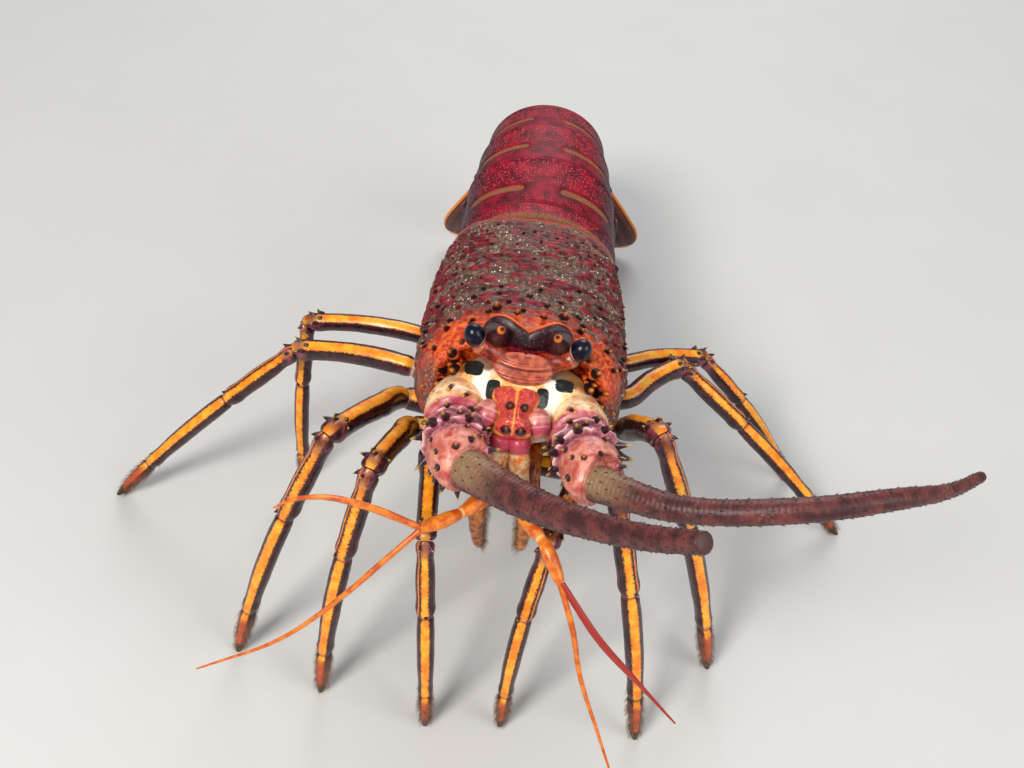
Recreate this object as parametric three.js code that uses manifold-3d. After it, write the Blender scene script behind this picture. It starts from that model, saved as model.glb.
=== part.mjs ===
// A spiny lobster, life size and still: head raised on its legs, tail arched down to the floor behind.
// Millimetres, +Z up. The head looks along -Y, the tail lies toward +Y, and the animal's left is +X.
import * as THREE from "three";
import Module from "manifold-3d";

const wasm = await Module();
wasm.setup();

// Driving dimensions, millimetres and degrees
const GAP = 0.3; // clear space between pieces that touch
const BOX_SHIFT = new THREE.Vector3(8.6, -17, 0); // brings the middle of the outline to the origin
const BODY_PLACE = new THREE.Vector3(1.2, -12.2, 74.2); // middle of the breast, under the shell
const HEAD_UP = 19.2; // how far the head end of the shell is raised
const LEAN = 3.5; // the animal's left side stands this much lower
const TURN = 1.9; // the head end points this much to the animal's right
const SHELL_SIDES = 28; // points round the shell, and so on for the other pieces
const BREAST_SIDES = 12;
const FACE_SIDES = 16;
const PLATE_SIDES = 8;
const EYE_SIDES = 12;
const FEELER_BASE_SIDES = 14;
const FEELER_SIDES = 10;
const BRANCH_SIDES = 6;
const LEG_SIDES = 8;
const FOOT_RADIUS = 1.3; // flat under each claw

// Colours
const MAROON = 0x3a1014;
const CRIMSON = 0x8c1420;
const TAUPE = 0x7a5a4c;
const ORANGE = 0xd9691e;
const ROSE = 0xb8606c;
const CREAM = 0xe0b878;
const NAVY = 0x14182c;

const degrees = THREE.MathUtils.degToRad;
const mix = THREE.MathUtils.lerp;
const bodyTurn = new THREE.Euler(-degrees(HEAD_UP), degrees(LEAN), -degrees(TURN), "ZYX");
const bodyFrame = new THREE.Matrix4().makeRotationFromEuler(bodyTurn).setPosition(BODY_PLACE);

// A place on the body: left of the middle, behind the middle of the shell, above the breast.
function onBody(left, back, above) {
  return new THREE.Vector3(left, back, above).applyMatrix4(bodyFrame);
}

// A closed solid from shared points and triangles, turned to face out.
function solidFrom(points, triangles) {
  const numbers = new Float32Array(points.flatMap((p) => [p.x, p.y, p.z]));
  const build = (corners) =>
    new wasm.Manifold(
      new wasm.Mesh({ numProp: 3, vertProperties: numbers, triVerts: new Uint32Array(corners.flat()) }),
    );
  const solid = build(triangles);
  return solid.volume() > 0 ? solid : build(triangles.map(([a, b, c]) => [a, c, b]));
}

// A skin through rings that each have the same number of points, closed by a fan at both ends.
function loft(rings) {
  const sides = rings[0].length;
  const points = rings.flat();
  const triangles = [];
  for (let r = 0; r + 1 < rings.length; r += 1) {
    for (let k = 0; k < sides; k += 1) {
      const a = r * sides + k;
      const b = r * sides + ((k + 1) % sides);
      triangles.push([a, b, b + sides], [a, b + sides, a + sides]);
    }
  }
  [rings[0], rings[rings.length - 1]].forEach((ring, end) => {
    const middle = ring.reduce((sum, p) => sum.add(p), new THREE.Vector3()).divideScalar(sides);
    const first = end * (rings.length - 1) * sides;
    points.push(middle);
    for (let k = 0; k < sides; k += 1) {
      const corners = [points.length - 1, first + k, first + ((k + 1) % sides)];
      triangles.push(end ? corners : corners.reverse());
    }
  });
  return solidFrom(points, triangles);
}

// An oval ring about a centre, square to a direction; wide across, tall along the up direction.
function oval(centre, along, up, wide, tall, sides) {
  const across = new THREE.Vector3().crossVectors(along, up).normalize();
  const over = new THREE.Vector3().crossVectors(across, along).normalize();
  return Array.from({ length: sides }, (_, k) => {
    const turn = (2 * Math.PI * (k + 0.5)) / sides;
    return centre
      .clone()
      .addScaledVector(across, wide * Math.cos(turn))
      .addScaledVector(over, tall * Math.sin(turn));
  });
}

const point = (x, y, z) => new THREE.Vector3(x, y, z);
const UP = point(0, 0, 1);
const BACK = point(0, 1, 0);
const forward = BACK.clone().negate().transformDirection(bodyFrame);
const bodyUp = UP.clone().transformDirection(bodyFrame);

// A limb along a path with a [half width, half height] at each point. The ends may face given ways.
function limb(path, sizes, { up = UP, sides = LEG_SIDES, start, finish, grow = 0 } = {}) {
  const last = path.length - 1;
  const step = (k) => path[k + 1].clone().sub(path[k]).normalize();
  const rings = path.map((place, k) => {
    let along = k === 0 ? step(0) : step(k - 1);
    if (k > 0 && k < last) along = along.add(step(k)).normalize();
    if (k === 0 && start) along = start;
    if (k === last && finish) along = finish;
    let centre = place;
    if (k === 0) centre = place.clone().addScaledVector(along, -grow);
    if (k === last) centre = place.clone().addScaledVector(along, grow);
    return oval(centre, along, up, sizes[k][0] + grow, sizes[k][1] + grow, sides);
  });
  return loft(rings);
}

// A smooth limb: the path is a curve through the points, and the sizes are spread along it.
function smoothLimb(points, sizes, steps, options) {
  const curve = new THREE.CatmullRomCurve3(points);
  const path = curve.getPoints(steps);
  const spread = path.map((_, k) => {
    const at = (k / steps) * (sizes.length - 1);
    const low = Math.min(Math.floor(at), sizes.length - 2);
    return [0, 1].map((i) => mix(sizes[low][i], sizes[low + 1][i], at - low));
  });
  return limb(path, spread, options);
}

const round = (radius) => [radius, radius];

// A bulb: an egg shape about a centre, long along its own axis. Its ends are small flats.
const BULB_FLAT = 0.12; // radians from the axis to the edge of the flat
function bulb(centre, along, halfLength, half, grow = 0) {
  const bands = EYE_SIDES / 2 + 1;
  const axis = along.clone().normalize();
  const rings = Array.from({ length: bands }, (_, k) => {
    const turn = mix(BULB_FLAT, Math.PI - BULB_FLAT, k / (bands - 1));
    const middle = centre.clone().addScaledVector(axis, -(halfLength + grow) * Math.cos(turn));
    const reach = (half + grow) * Math.sin(turn);
    return oval(middle, axis, forward, reach, reach, EYE_SIDES);
  });
  return loft(rings);
}

// The largest closed surface of a solid, without the scraps that a cut can leave.
function largest(solid) {
  return solid.decompose().reduce((best, piece) => (piece.volume() > best.volume() ? piece : best));
}

function cut(solid, ...cutters) {
  return largest(cutters.reduce((rest, cutter) => rest.subtract(cutter), solid));
}

// The same run of chance numbers each time, from 0 to 1.
const CHANCE_FACTOR = 48271;
const CHANCE_TOP = 2147483647;
let chanceState = 20417;
function chance() {
  chanceState = (chanceState * CHANCE_FACTOR) % CHANCE_TOP;
  return chanceState / CHANCE_TOP;
}

// A spine with its root sunk in what it grows from: a slim pyramid that ends in a point.
const SPINE_SIDES = 4;
function spine(foot, way, length, radius, sunk) {
  const along = way.clone().normalize();
  const side = Math.abs(along.z) > 0.9 ? BACK : UP;
  const root = foot.clone().addScaledVector(along, -sunk);
  const width = radius * (1 + sunk / length);
  const tip = foot.clone().addScaledVector(along, length);
  const points = [...oval(root, along, side, width, width, SPINE_SIDES), root, tip];
  const triangles = Array.from({ length: SPINE_SIDES }, (_, k) => {
    const next = (k + 1) % SPINE_SIDES;
    return [[k, next, SPINE_SIDES + 1], [next, k, SPINE_SIDES]];
  });
  return solidFrom(points, triangles.flat());
}

// A solid with its spines, which end short of the pieces that stand near them.
function withSpines(solid, spines, ...near) {
  const clear = near.reduce((rest, piece) => rest.subtract(piece), wasm.Manifold.union(spines));
  return largest(solid.add(clear));
}

const lobster = new THREE.Group();
lobster.name = "spiny_lobster";
lobster.position.copy(BOX_SHIFT);

function addPart(name, solid, colour, roughness) {
  const made = largest(solid).getMesh();
  const geometry = new THREE.BufferGeometry();
  geometry.setAttribute("position", new THREE.BufferAttribute(made.vertProperties, made.numProp));
  geometry.setIndex(new THREE.BufferAttribute(made.triVerts, 1));
  geometry.computeVertexNormals();
  const material = new THREE.MeshStandardMaterial({ color: colour, roughness, metalness: 0 });
  const mesh = new THREE.Mesh(geometry, material);
  mesh.name = name;
  lobster.add(mesh);
}

const SIDES = [
  { tag: "r", sign: -1 },
  { tag: "l", sign: 1 },
];

// Head and back shell: one barrel, flat under the breast, with a rim at its rear edge.
const SHELL_LENGTHWISE = [
  // place along the body, half width, top, lower edge
  [-50, 27, 43.5, 13],
  [-48, 29.5, 45.5, 10],
  [-38, 33, 47.5, 5],
  [-22, 34.6, 49.2, 2],
  [-9, 34.8, 49.9, 2.5],
  [-5, 33.8, 48.4, 3],
  [-1, 34.8, 50.2, 3.5],
  [15, 34.6, 51, 7],
  [32, 33.5, 51, 12],
  [46, 31.8, 50.2, 17],
  [50, 30.6, 49.8, 19],
  [51, 31.4, 50.6, 19],
  [54, 31, 50.4, 21],
];

function shellPoint([back, wide, top, low], turn, grow) {
  const waist = mix(low, top, 0.4);
  const bulge = (value, power) => Math.sign(value) * Math.abs(value) ** power;
  const lower = Math.sin(turn) < 0;
  const left = (wide + grow) * bulge(Math.cos(turn), lower ? 0.6 : 0.82);
  const reach = lower ? waist - low + grow : top - waist + grow;
  return onBody(left, back, waist + reach * bulge(Math.sin(turn), lower ? 0.6 : 0.9));
}

function shellSection(row, grow) {
  return Array.from({ length: SHELL_SIDES }, (_, k) => {
    return shellPoint(row, (2 * Math.PI * (k + 0.5)) / SHELL_SIDES, grow);
  });
}

function shellLoft(grow) {
  const last = SHELL_LENGTHWISE.length - 1;
  const rings = SHELL_LENGTHWISE.map(([back, wide, top, low], k) => {
    const shift = k === 0 ? -grow : k === last ? grow : 0;
    return shellSection([back + shift, wide, top, low], grow);
  });
  return loft(rings);
}

// The dark arched bar between the roots of the horns.
const BAR = [
  // place on the body, half width and half height
  { at: [-10, -48, 44], size: [3.2, 2.6] },
  { at: [-5, -51.5, 43], size: [3.2, 2] },
  { at: [0, -53, 42.6], size: [3, 1.8] },
  { at: [5, -51.5, 43], size: [3.2, 2] },
  { at: [10, -48, 44], size: [3.2, 2.6] },
];

function barLoft(grow) {
  const path = BAR.map(({ at }) => onBody(...at));
  const sizes = BAR.map(({ size }) => size);
  return limb(path, sizes, { up: bodyUp, grow });
}

// A place on the shell's surface, and the way straight out from it.
function onShell(back, turn) {
  const after = SHELL_LENGTHWISE.findIndex((row) => row[0] > back);
  const [low, high] = [SHELL_LENGTHWISE[after - 1], SHELL_LENGTHWISE[after]];
  const share = (back - low[0]) / (high[0] - low[0]);
  const row = low.map((value, k) => mix(value, high[k], share));
  const place = shellPoint(row, turn, 0);
  return { place, out: shellPoint(row, turn, 1).sub(place).normalize() };
}

// Rows of spines over the shell, pointing forward: larger in front of the groove, smaller behind it.
const SHELL_ROWS = [
  // place along the body, spines in the row, their length
  [-46, 6, 3.4],
  [-40, 9, 3.8],
  [-33, 10, 3.4],
  [-26, 11, 3],
  [-19, 12, 2.7],
  [-11, 11, 2.3],
  [2, 10, 2.3],
  [11, 11, 2.1],
  [20, 10, 2],
  [29, 11, 1.9],
  [38, 10, 1.8],
  [46, 11, 1.6],
];
const ROW_ARC = degrees(66); // how far a row reaches down each side
const ROW_SCATTER = degrees(2.2); // how far a spine may stray from its even place round the shell
const BACK_SCATTER = 1.4; // and along it
const SPINE_SUNK = 2;

function shellSpines() {
  return SHELL_ROWS.flatMap(([back, count, length]) =>
    Array.from({ length: count }, (_, k) => {
      const even = mix(-ROW_ARC, ROW_ARC, (k + 0.5) / count);
      const turn = Math.PI / 2 + even + mix(-ROW_SCATTER, ROW_SCATTER, chance());
      const { place, out } = onShell(back + mix(-BACK_SCATTER, BACK_SCATTER, chance()), turn);
      const way = out.clone().addScaledVector(forward, mix(0.7, 1.1, chance()));
      const reach = length * mix(0.75, 1.2, chance());
      const radius = Math.sqrt(length) * mix(0.4, 0.475, chance());
      return spine(place, way, reach, radius, SPINE_SUNK);
    }),
  );
}

// The strong spines behind the horns and down the front corners of the shell.
const STRONG_SPINES = [
  { at: [9.2, -45.4, 44.6], way: [0.05, -0.82, 0.55], length: 6.8, radius: 2.2 },
  { at: [10.5, -33, 46.3], way: [0.1, -0.8, 0.6], length: 5.6, radius: 1.6 },
  { at: [4.2, -37, 46.8], way: [0, -0.75, 0.66], length: 4.4, radius: 1.3 },
  { at: [18.5, -45, 38.5], way: [0.35, -0.85, 0.35], length: 7.4, radius: 1.8 },
  { at: [20.5, -47.5, 32.5], way: [0.45, -0.85, 0.1], length: 6, radius: 1.6 },
  { at: [24, -45.5, 29], way: [0.55, -0.8, 0.15], length: 6.6, radius: 1.7 },
  { at: [27.5, -44, 23], way: [0.6, -0.8, 0], length: 6, radius: 1.6 },
];

function strongSpines() {
  return SIDES.flatMap(({ sign }) =>
    STRONG_SPINES.map(({ at, way, length, radius }) => {
      const direction = point(sign * way[0], way[1], way[2]).transformDirection(bodyFrame);
      return spine(onBody(sign * at[0], at[1], at[2]), direction, length, radius, SPINE_SUNK);
    }),
  );
}

const shell = shellLoft(0).add(barLoft(0));
const aroundShell = shellLoft(GAP).add(barLoft(GAP));
const nearShell = []; // pieces that the shell's spines keep clear of

// The breast plate under the shell, wider toward the rear, that the legs hang from.
const BREAST = [
  // place along the body, half width, top, underside
  [-46, 8, 12, -6],
  [-38, 11, 10, -10],
  [-10, 16, 8, -11],
  [20, 20, 12, -8],
  [42, 19, 18, 2],
];

function breastLoft(grow) {
  const rings = BREAST.map(([back, wide, top, low], k) => {
    const shift = k === 0 ? -grow : k === BREAST.length - 1 ? grow : 0;
    const centre = onBody(0, back + shift, (top + low) / 2);
    const along = forward.clone().negate();
    return oval(centre, along, bodyUp, wide + grow, (top - low) / 2 + grow, BREAST_SIDES);
  });
  return loft(rings);
}

const aroundBreast = breastLoft(GAP);

// The face under the front rim of the shell, and the forked plate between the feelers.
const FACE = [
  // place along the body, height above the breast, half width and half height
  { back: -50.3, above: 25.96, size: [23, 14] },
  { back: -55, above: 25.29, size: [21, 12.5] },
  { back: -60, above: 24.57, size: [14, 10.5] },
  { back: -64, above: 24, size: [8, 8.5] },
];
const PLATE = [
  { at: [-1, -61, 30.5], size: [6.2, 4.6] },
  { at: [-1, -67, 27], size: [4.8, 4] },
  { at: [-1, -72.5, 23], size: [4.6, 3.2] },
];
const PLATE_SPINES = [
  // the small pair, then the large pair at the lower end
  { at: [-2.6, -68.4, 31], length: 2.4, radius: 1.1 },
  { at: [1.7, -68.4, 31], length: 2.4, radius: 1.1 },
  { at: [-2.9, -73.3, 26], length: 3, radius: 1.4 },
  { at: [1.4, -73.3, 26], length: 3, radius: 1.4 },
];

function faceLoft(grow) {
  const path = FACE.map(({ back, above }) => onBody(0, back, above));
  const sizes = FACE.map(({ size }) => size);
  return limb(path, sizes, { up: bodyUp, sides: FACE_SIDES, grow });
}

function plateLoft(grow) {
  const path = PLATE.map(({ at }) => onBody(...at));
  const sizes = PLATE.map(({ size }) => size);
  return limb(path, sizes, { up: bodyUp, sides: PLATE_SIDES, grow });
}

const face = cut(faceLoft(0), aroundShell);
const aroundFace = faceLoft(GAP);
const plateSpines = PLATE_SPINES.map(({ at, length, radius }) => {
  const way = point(0, -0.86, 0.48).transformDirection(bodyFrame);
  return spine(onBody(...at), way, length, radius, SPINE_SUNK);
});
const plate = withSpines(cut(plateLoft(0), aroundFace), plateSpines, aroundFace);
const aroundPlate = plateLoft(GAP);

addPart("breast_plate", cut(breastLoft(0), aroundShell), CREAM, 0.6);
addPart("face", face, CREAM, 0.5);
addPart("antennule_plate", plate, ORANGE, 0.5);

// Horns over the eyes, and the eyes on their stalks.
const EYE_HALF_LENGTH = 3.9;
const EYE_HALF_WIDTH = 3.2;
SIDES.forEach(({ tag, sign }) => {
  const hornPath = [
    onBody(sign * 9, -43, 40),
    onBody(sign * 9.2, -52, 44.5),
    onBody(sign * 9, -58.5, 49),
    onBody(sign * 8, -65, 54),
  ];
  const hornSizes = [
    [6, 6.4],
    [5, 5],
    [2.9, 3],
    [0.3, 0.3],
  ];
  const horn = limb(hornPath, hornSizes, { up: bodyUp });
  const aroundHorn = limb(hornPath, hornSizes, { up: bodyUp, grow: GAP });
  addPart(`horn_${tag}`, cut(horn, aroundShell, aroundFace), MAROON, 0.45);

  const stalkPath = [
    onBody(sign * 4, -53, 38),
    onBody(sign * 11, -56, 41),
    onBody(sign * 14.6, -57.3, 44.4),
  ];
  const stalkSizes = [round(3), round(3.6), round(2.6)];
  const aroundStalk = limb(stalkPath, stalkSizes, { grow: GAP });
  const stalk = limb(stalkPath, stalkSizes);
  addPart(`eyestalk_${tag}`, cut(stalk, aroundShell, aroundFace, aroundPlate, aroundHorn), ORANGE, 0.5);

  const eyeAxis = onBody(sign * 16.2, -58.5, 48).sub(onBody(sign * 14, -57, 43));
  const eyeCentre = onBody(sign * 16, -58, 47.5);
  const eye = bulb(eyeCentre, eyeAxis, EYE_HALF_LENGTH, EYE_HALF_WIDTH);
  const aroundEye = bulb(eyeCentre, eyeAxis, EYE_HALF_LENGTH, EYE_HALF_WIDTH, GAP);
  nearShell.push(aroundHorn, aroundStalk, aroundEye);
  addPart(`eye_${tag}`, cut(eye, aroundStalk, aroundShell, aroundFace, aroundHorn), NAVY, 0.15);
});

// The thick jointed bases of the long feelers, and the feelers themselves, each broken short.
const FEELERS = {
  r: {
    base: [onBody(-17, -50, 22), onBody(-18, -58, 22), onBody(-18, -66, 20.5)],
    arm: [point(-15, -80, 119.5), point(-11, -89, 121.6)],
    whip: [
      point(-11, -89, 121.6),
      point(7, -105, 128),
      point(26, -121, 139),
      point(39, -133, 151),
      point(48, -142, 162),
    ],
    thick: [6.2, 5, 3.8, 3.3, 2.9],
  },
  l: {
    base: [onBody(17, -50, 22), onBody(18.5, -58, 22), onBody(20, -66, 21.5)],
    arm: [point(24, -80, 119), point(26, -90, 121)],
    whip: [
      point(26, -90, 121),
      point(48, -104, 129),
      point(79, -109, 138),
      point(107, -102, 138),
      point(124, -93, 133),
      point(136, -83, 129),
    ],
    thick: [5.4, 3.9, 3.6, 3, 2.1, 1.6],
  },
};

// Spines on the root of a long feeler: place on the left side of the body, and length.
const BASE_SPINES = [
  [25, -58, 26, 4],
  [20.5, -61, 29.5, 4],
];

// Spines on the arm of a long feeler: share of its length, turn round it, length, radius.
const ARM_SPINES = [
  [0.1, 75, 4.2, 1.5],
  [0.12, 125, 4.6, 1.5],
  [0.15, 20, 4, 1.4],
  [0.15, 175, 4, 1.4],
  [0.18, -40, 3.6, 1.3],
  [0.18, -130, 3.6, 1.3],
  [0.48, 100, 4.6, 1.5],
  [0.5, 48, 4, 1.4],
  [0.5, 150, 4, 1.4],
  [0.55, 0, 3.4, 1.2],
  [0.55, 200, 3.4, 1.2],
  [0.85, 75, 3.4, 1.2],
  [0.85, 125, 3.4, 1.2],
  [0.88, 25, 2.8, 1],
];

SIDES.forEach(({ tag, sign }) => {
  const { base, arm, whip, thick } = FEELERS[tag];
  const baseSizes = [round(9), round(9.8), round(9.2)];
  const joint = arm[0].clone().sub(base[2]).normalize();
  const armPath = [base[2], base[2].clone().lerp(arm[0], 0.35), ...arm];
  const baseEnds = { up: bodyUp, sides: FEELER_BASE_SIDES, finish: joint };
  const baseSolid = limb(base, baseSizes, baseEnds);
  const aroundBase = limb(base, baseSizes, { ...baseEnds, grow: GAP });
  const baseSpines = BASE_SPINES.map(([left, back, above, length]) => {
    const way = point(sign * 0.45, -0.8, 0.35).transformDirection(bodyFrame);
    return spine(onBody(sign * left, back, above), way, length, 1.5, SPINE_SUNK);
  });
  const baseCut = cut(baseSolid, aroundShell, aroundFace, aroundPlate);

  const armSizes = [round(8.6), round(9), round(8.8), round(6.6)];
  const wrist = whip[1].clone().sub(arm[1]).normalize();
  const armEnds = { sides: FEELER_BASE_SIDES, start: joint, finish: wrist };
  const armSolid = limb(armPath, armSizes, armEnds);
  const aroundArm = limb(armPath, armSizes, { ...armEnds, grow: GAP });

  // The feeler is one curve, parted in two lengths.
  const curve = new THREE.CatmullRomCurve3(whip);
  const steps = 20;
  const split = steps / 2;
  const path = curve.getPoints(steps);
  const sizes = path.map((_, k) => {
    const at = (k / steps) * (thick.length - 1);
    const low = Math.min(Math.floor(at), thick.length - 2);
    return round(mix(thick[low], thick[low + 1], at - low));
  });
  const direction = curve.getTangent(split / steps);
  const nearLength = path.slice(0, split + 1);
  const farLength = path.slice(split);
  farLength[0] = farLength[0].clone().addScaledVector(direction, GAP);
  const nearSizes = sizes.slice(0, split + 1);
  const nearEnds = { sides: FEELER_SIDES, finish: direction };
  const near = limb(nearLength, nearSizes, nearEnds);
  const far = limb(farLength, sizes.slice(split), { sides: FEELER_SIDES, start: direction });
  const aroundNear = limb(nearLength, nearSizes, { ...nearEnds, grow: GAP });
  addPart(`antenna_near_${tag}`, cut(near, aroundArm), TAUPE, 0.8);
  addPart(`antenna_far_${tag}`, far, TAUPE, 0.8);

  const armAcross = new THREE.Vector3().crossVectors(joint, UP).normalize();
  const armOver = new THREE.Vector3().crossVectors(armAcross, joint).normalize();
  const armSpines = ARM_SPINES.map(([share, turn, length, radius]) => {
    const angle = degrees(turn + mix(-6, 6, chance()));
    const out = armAcross.clone().multiplyScalar(Math.cos(angle)).addScaledVector(armOver, Math.sin(angle));
    const middle = armPath[1].clone().lerp(arm[1], share);
    const foot = middle.addScaledVector(out, mix(8.4, 6.4, share));
    return spine(foot, out.addScaledVector(joint, 0.75), length, radius, SPINE_SUNK);
  });
  const armCut = cut(armSolid, aroundBase, aroundPlate, aroundFace);
  const spinyArm = withSpines(armCut, armSpines, aroundBase, aroundPlate, aroundNear);
  addPart(`antenna_arm_${tag}`, spinyArm, ROSE, 0.6);
  addPart(`antenna_base_${tag}`, withSpines(baseCut, baseSpines, aroundArm, aroundShell), CREAM, 0.5);
  nearShell.push(aroundBase);
});

addPart("carapace", withSpines(shell, [...shellSpines(), ...strongSpines()], ...nearShell), TAUPE, 0.85);

// The small forked feelers: a jointed stem and two branches on each side.
const ANTENNULES = {
  r: {
    stem: [onBody(-3.4, -69.5, 21.5), point(-6, -78, 97.5), point(-17, -89, 98), point(-24, -93, 98)],
    outer: [
      point(-23.6, -92.8, 98.4),
      point(-41, -93, 107),
      point(-50, -92, 108),
      point(-63, -91, 104),
      point(-68, -90, 99),
    ],
    inner: [
      point(-23.8, -92.8, 97.4),
      point(-32, -98, 91),
      point(-46, -105, 78),
      point(-65, -108, 58),
      point(-94, -109, 38),
    ],
  },
  l: {
    stem: [onBody(1.4, -69.5, 21.5), point(7, -83, 96.5), point(14, -94, 95), point(19, -102, 88.5)],
    outer: [point(19.2, -101.8, 88.8), point(32, -110, 73), point(46, -114, 57), point(59, -119, 44)],
    inner: [
      point(18.6, -101.6, 89),
      point(24, -110, 76),
      point(27, -116, 64),
      point(35, -126, 45),
      point(41, -134, 32),
    ],
  },
};

const OUTER_STEPS = 12; // lengths that each branch is made of
const INNER_STEPS = 14;

SIDES.forEach(({ tag }) => {
  const { stem, outer, inner } = ANTENNULES[tag];
  const stemSizes = [round(2.6), round(1.9), round(1.7), round(1.6)];
  const aroundStem = limb(stem, stemSizes, { grow: GAP });
  addPart(`antennule_stem_${tag}`, cut(limb(stem, stemSizes), aroundPlate, aroundFace), ORANGE, 0.55);
  const outerSizes = [[1, 1], [1, 1.4], [0.9, 1.3], [0.6, 0.8], [0.3, 0.3]];
  const innerSizes = [[0.95, 0.95], [0.9, 0.9], [0.75, 0.75], [0.55, 0.55], [0.3, 0.3]];
  const sides = BRANCH_SIDES;
  const outerBranch = smoothLimb(outer, outerSizes, OUTER_STEPS, { sides });
  const aroundOuter = smoothLimb(outer, outerSizes, OUTER_STEPS, { sides, grow: GAP });
  const innerBranch = smoothLimb(inner, innerSizes, INNER_STEPS, { sides });
  addPart(`antennule_outer_${tag}`, cut(outerBranch, aroundStem), ORANGE, 0.55);
  addPart(`antennule_inner_${tag}`, cut(innerBranch, aroundStem, aroundOuter), ORANGE, 0.55);
});

// The mouth's outer feet, folded down under the face.
const MOUTH_FOOT_STEPS = 8;
SIDES.forEach(({ tag, sign }) => {
  const path = [
    onBody(sign * 6, -45, 8),
    onBody(sign * 7, -54, 5),
    point(sign * 8, -70, 78),
    point(sign * 7, -68, 60),
  ];
  const sizes = [[3.4, 4], [3.2, 4], [2.6, 3.2], [1, 1.2]];
  const foot = smoothLimb(path, sizes, MOUTH_FOOT_STEPS, { up: BACK });
  addPart(`mouth_foot_${tag}`, cut(foot, aroundShell, aroundBreast, aroundFace), ORANGE, 0.6);
});

// Legs: a root under the shell, a thick thigh up to the knee, and the shin, foot and claw down to the floor.
const LEGS = {
  // hip on the body (left side), then knee and foot of the right and the left leg
  1: { hip: [25, -37, -5], r: [[-23, -86, 84], [-21, -100]], l: [[15, -85, 84], [5, -98]] },
  2: { hip: [33, -26, -3], r: [[-41, -75, 102], [-59, -90]], l: [[35, -77, 99], [52, -99]] },
  3: { hip: [38, -13, 1], r: [[-56, -63, 103], [-91, -76]], l: [[48, -57, 108], [79, -68]] },
  4: { hip: [40.5, 3, 6], r: [[-79.5, 5, 74], [-153, -8]], l: [[62, 12, 74], [135, 0]] },
  5: { hip: [38, 18, 12], r: [[-77, 16, 78], [-81, 7]], l: [[72, 25, 67], [118, 28]] },
};
const LEG_THICKNESS = { 1: 0.9, 2: 1, 3: 1.03, 4: 1, 5: 0.86 };
const THIGH = [4.6, 4.6, 4.2, 4.4, 4.1, 3.9]; // half thickness from root to knee
const LOWER_LEG = [3.6, 3.2, 3.9, 3.7, 3.1, 3.3, 3.6, 3.2, 2.7, 3, 2.3];
const LOWER_PLACES = [0, 0.06, 0.14, 0.27, 0.34, 0.4, 0.58, 0.74, 0.79, 0.84, 0.92];
const THIGH_FLAT = 0.88; // width of the thigh as a share of its height
const LOWER_FLAT = 0.9; // and of the lower leg
const RISE = 2.2; // how far the thigh arches up
const BOW = 3.5; // how far the lower leg bows out
const KNEE_SPINES = [
  // share of the way from hip to knee, turn from straight up, length
  [0.93, 0, 3],
  [0.9, 55, 2.2],
  [0.9, -55, 2.2],
];
const KNEE_SPINE_OUT = 3.2; // from the middle of the thigh to the foot of the spine
const KNEE_SPINE_RADIUS = 1.1;
const KNEE_SPINE_SUNK = 1.4;

Object.entries(LEGS).forEach(([number, leg]) => {
  SIDES.forEach(({ tag, sign }) => {
    const thickness = LEG_THICKNESS[number];
    const [left, back, above] = leg.hip;
    const root = onBody(sign * left * 0.3, back * 0.95, above * 0.6 - 2);
    const hip = onBody(sign * left, back, above);
    const knee = point(...leg[tag][0]);
    const foot = point(...leg[tag][1], 0);
    const risen = (share) => {
      return hip.clone().lerp(knee, share).addScaledVector(UP, RISE * Math.sin(Math.PI * share));
    };
    const shin = foot.clone().sub(knee);
    const out = point(shin.x, shin.y, 0).normalize();
    const bowed = (share) => {
      const place = knee.clone().addScaledVector(shin, share);
      return place.addScaledVector(out, BOW * Math.sin(Math.PI * share));
    };
    const intoKnee = knee.clone().sub(risen(0.8)).normalize();
    const kneeWay = intoKnee.add(bowed(0.1).sub(knee).normalize()).normalize();
    const thighPath = [root, root.clone().lerp(hip, 0.5), hip, risen(0.35), risen(0.75), knee];
    const thighSizes = THIGH.map((half) => [half * thickness * THIGH_FLAT, half * thickness]);
    const thigh = limb(thighPath, thighSizes, { finish: kneeWay });
    const kneeSpines = KNEE_SPINES.map(([share, turn, length]) => {
      const angle = degrees(turn);
      const side = new THREE.Vector3().crossVectors(kneeWay, UP).normalize();
      const outward = side.multiplyScalar(Math.sin(angle)).addScaledVector(UP, Math.cos(angle));
      const place = risen(share).addScaledVector(outward, KNEE_SPINE_OUT * thickness);
      const way = outward.clone().addScaledVector(kneeWay, 0.9);
      return spine(place, way, length * thickness, KNEE_SPINE_RADIUS, KNEE_SPINE_SUNK);
    });

    const lowerPath = LOWER_PLACES.map(bowed);
    lowerPath[0] = knee.clone().addScaledVector(kneeWay, GAP);
    const lowerSizes = LOWER_LEG.map((half) => [half * thickness * LOWER_FLAT, half * thickness]);
    lowerPath.push(foot);
    lowerSizes.push(round(FOOT_RADIUS));
    const floorward = UP.clone().negate();
    const ends = { up: out, start: kneeWay, finish: floorward };
    const aroundLower = limb(lowerPath, lowerSizes, { ...ends, grow: GAP });
    const thighCut = cut(thigh, aroundShell, aroundBreast);
    addPart(`leg_${number}_upper_${tag}`, withSpines(thighCut, kneeSpines, aroundLower), MAROON, 0.5);
    addPart(`leg_${number}_lower_${tag}`, limb(lowerPath, lowerSizes, ends), MAROON, 0.5);
  });
});

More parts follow.
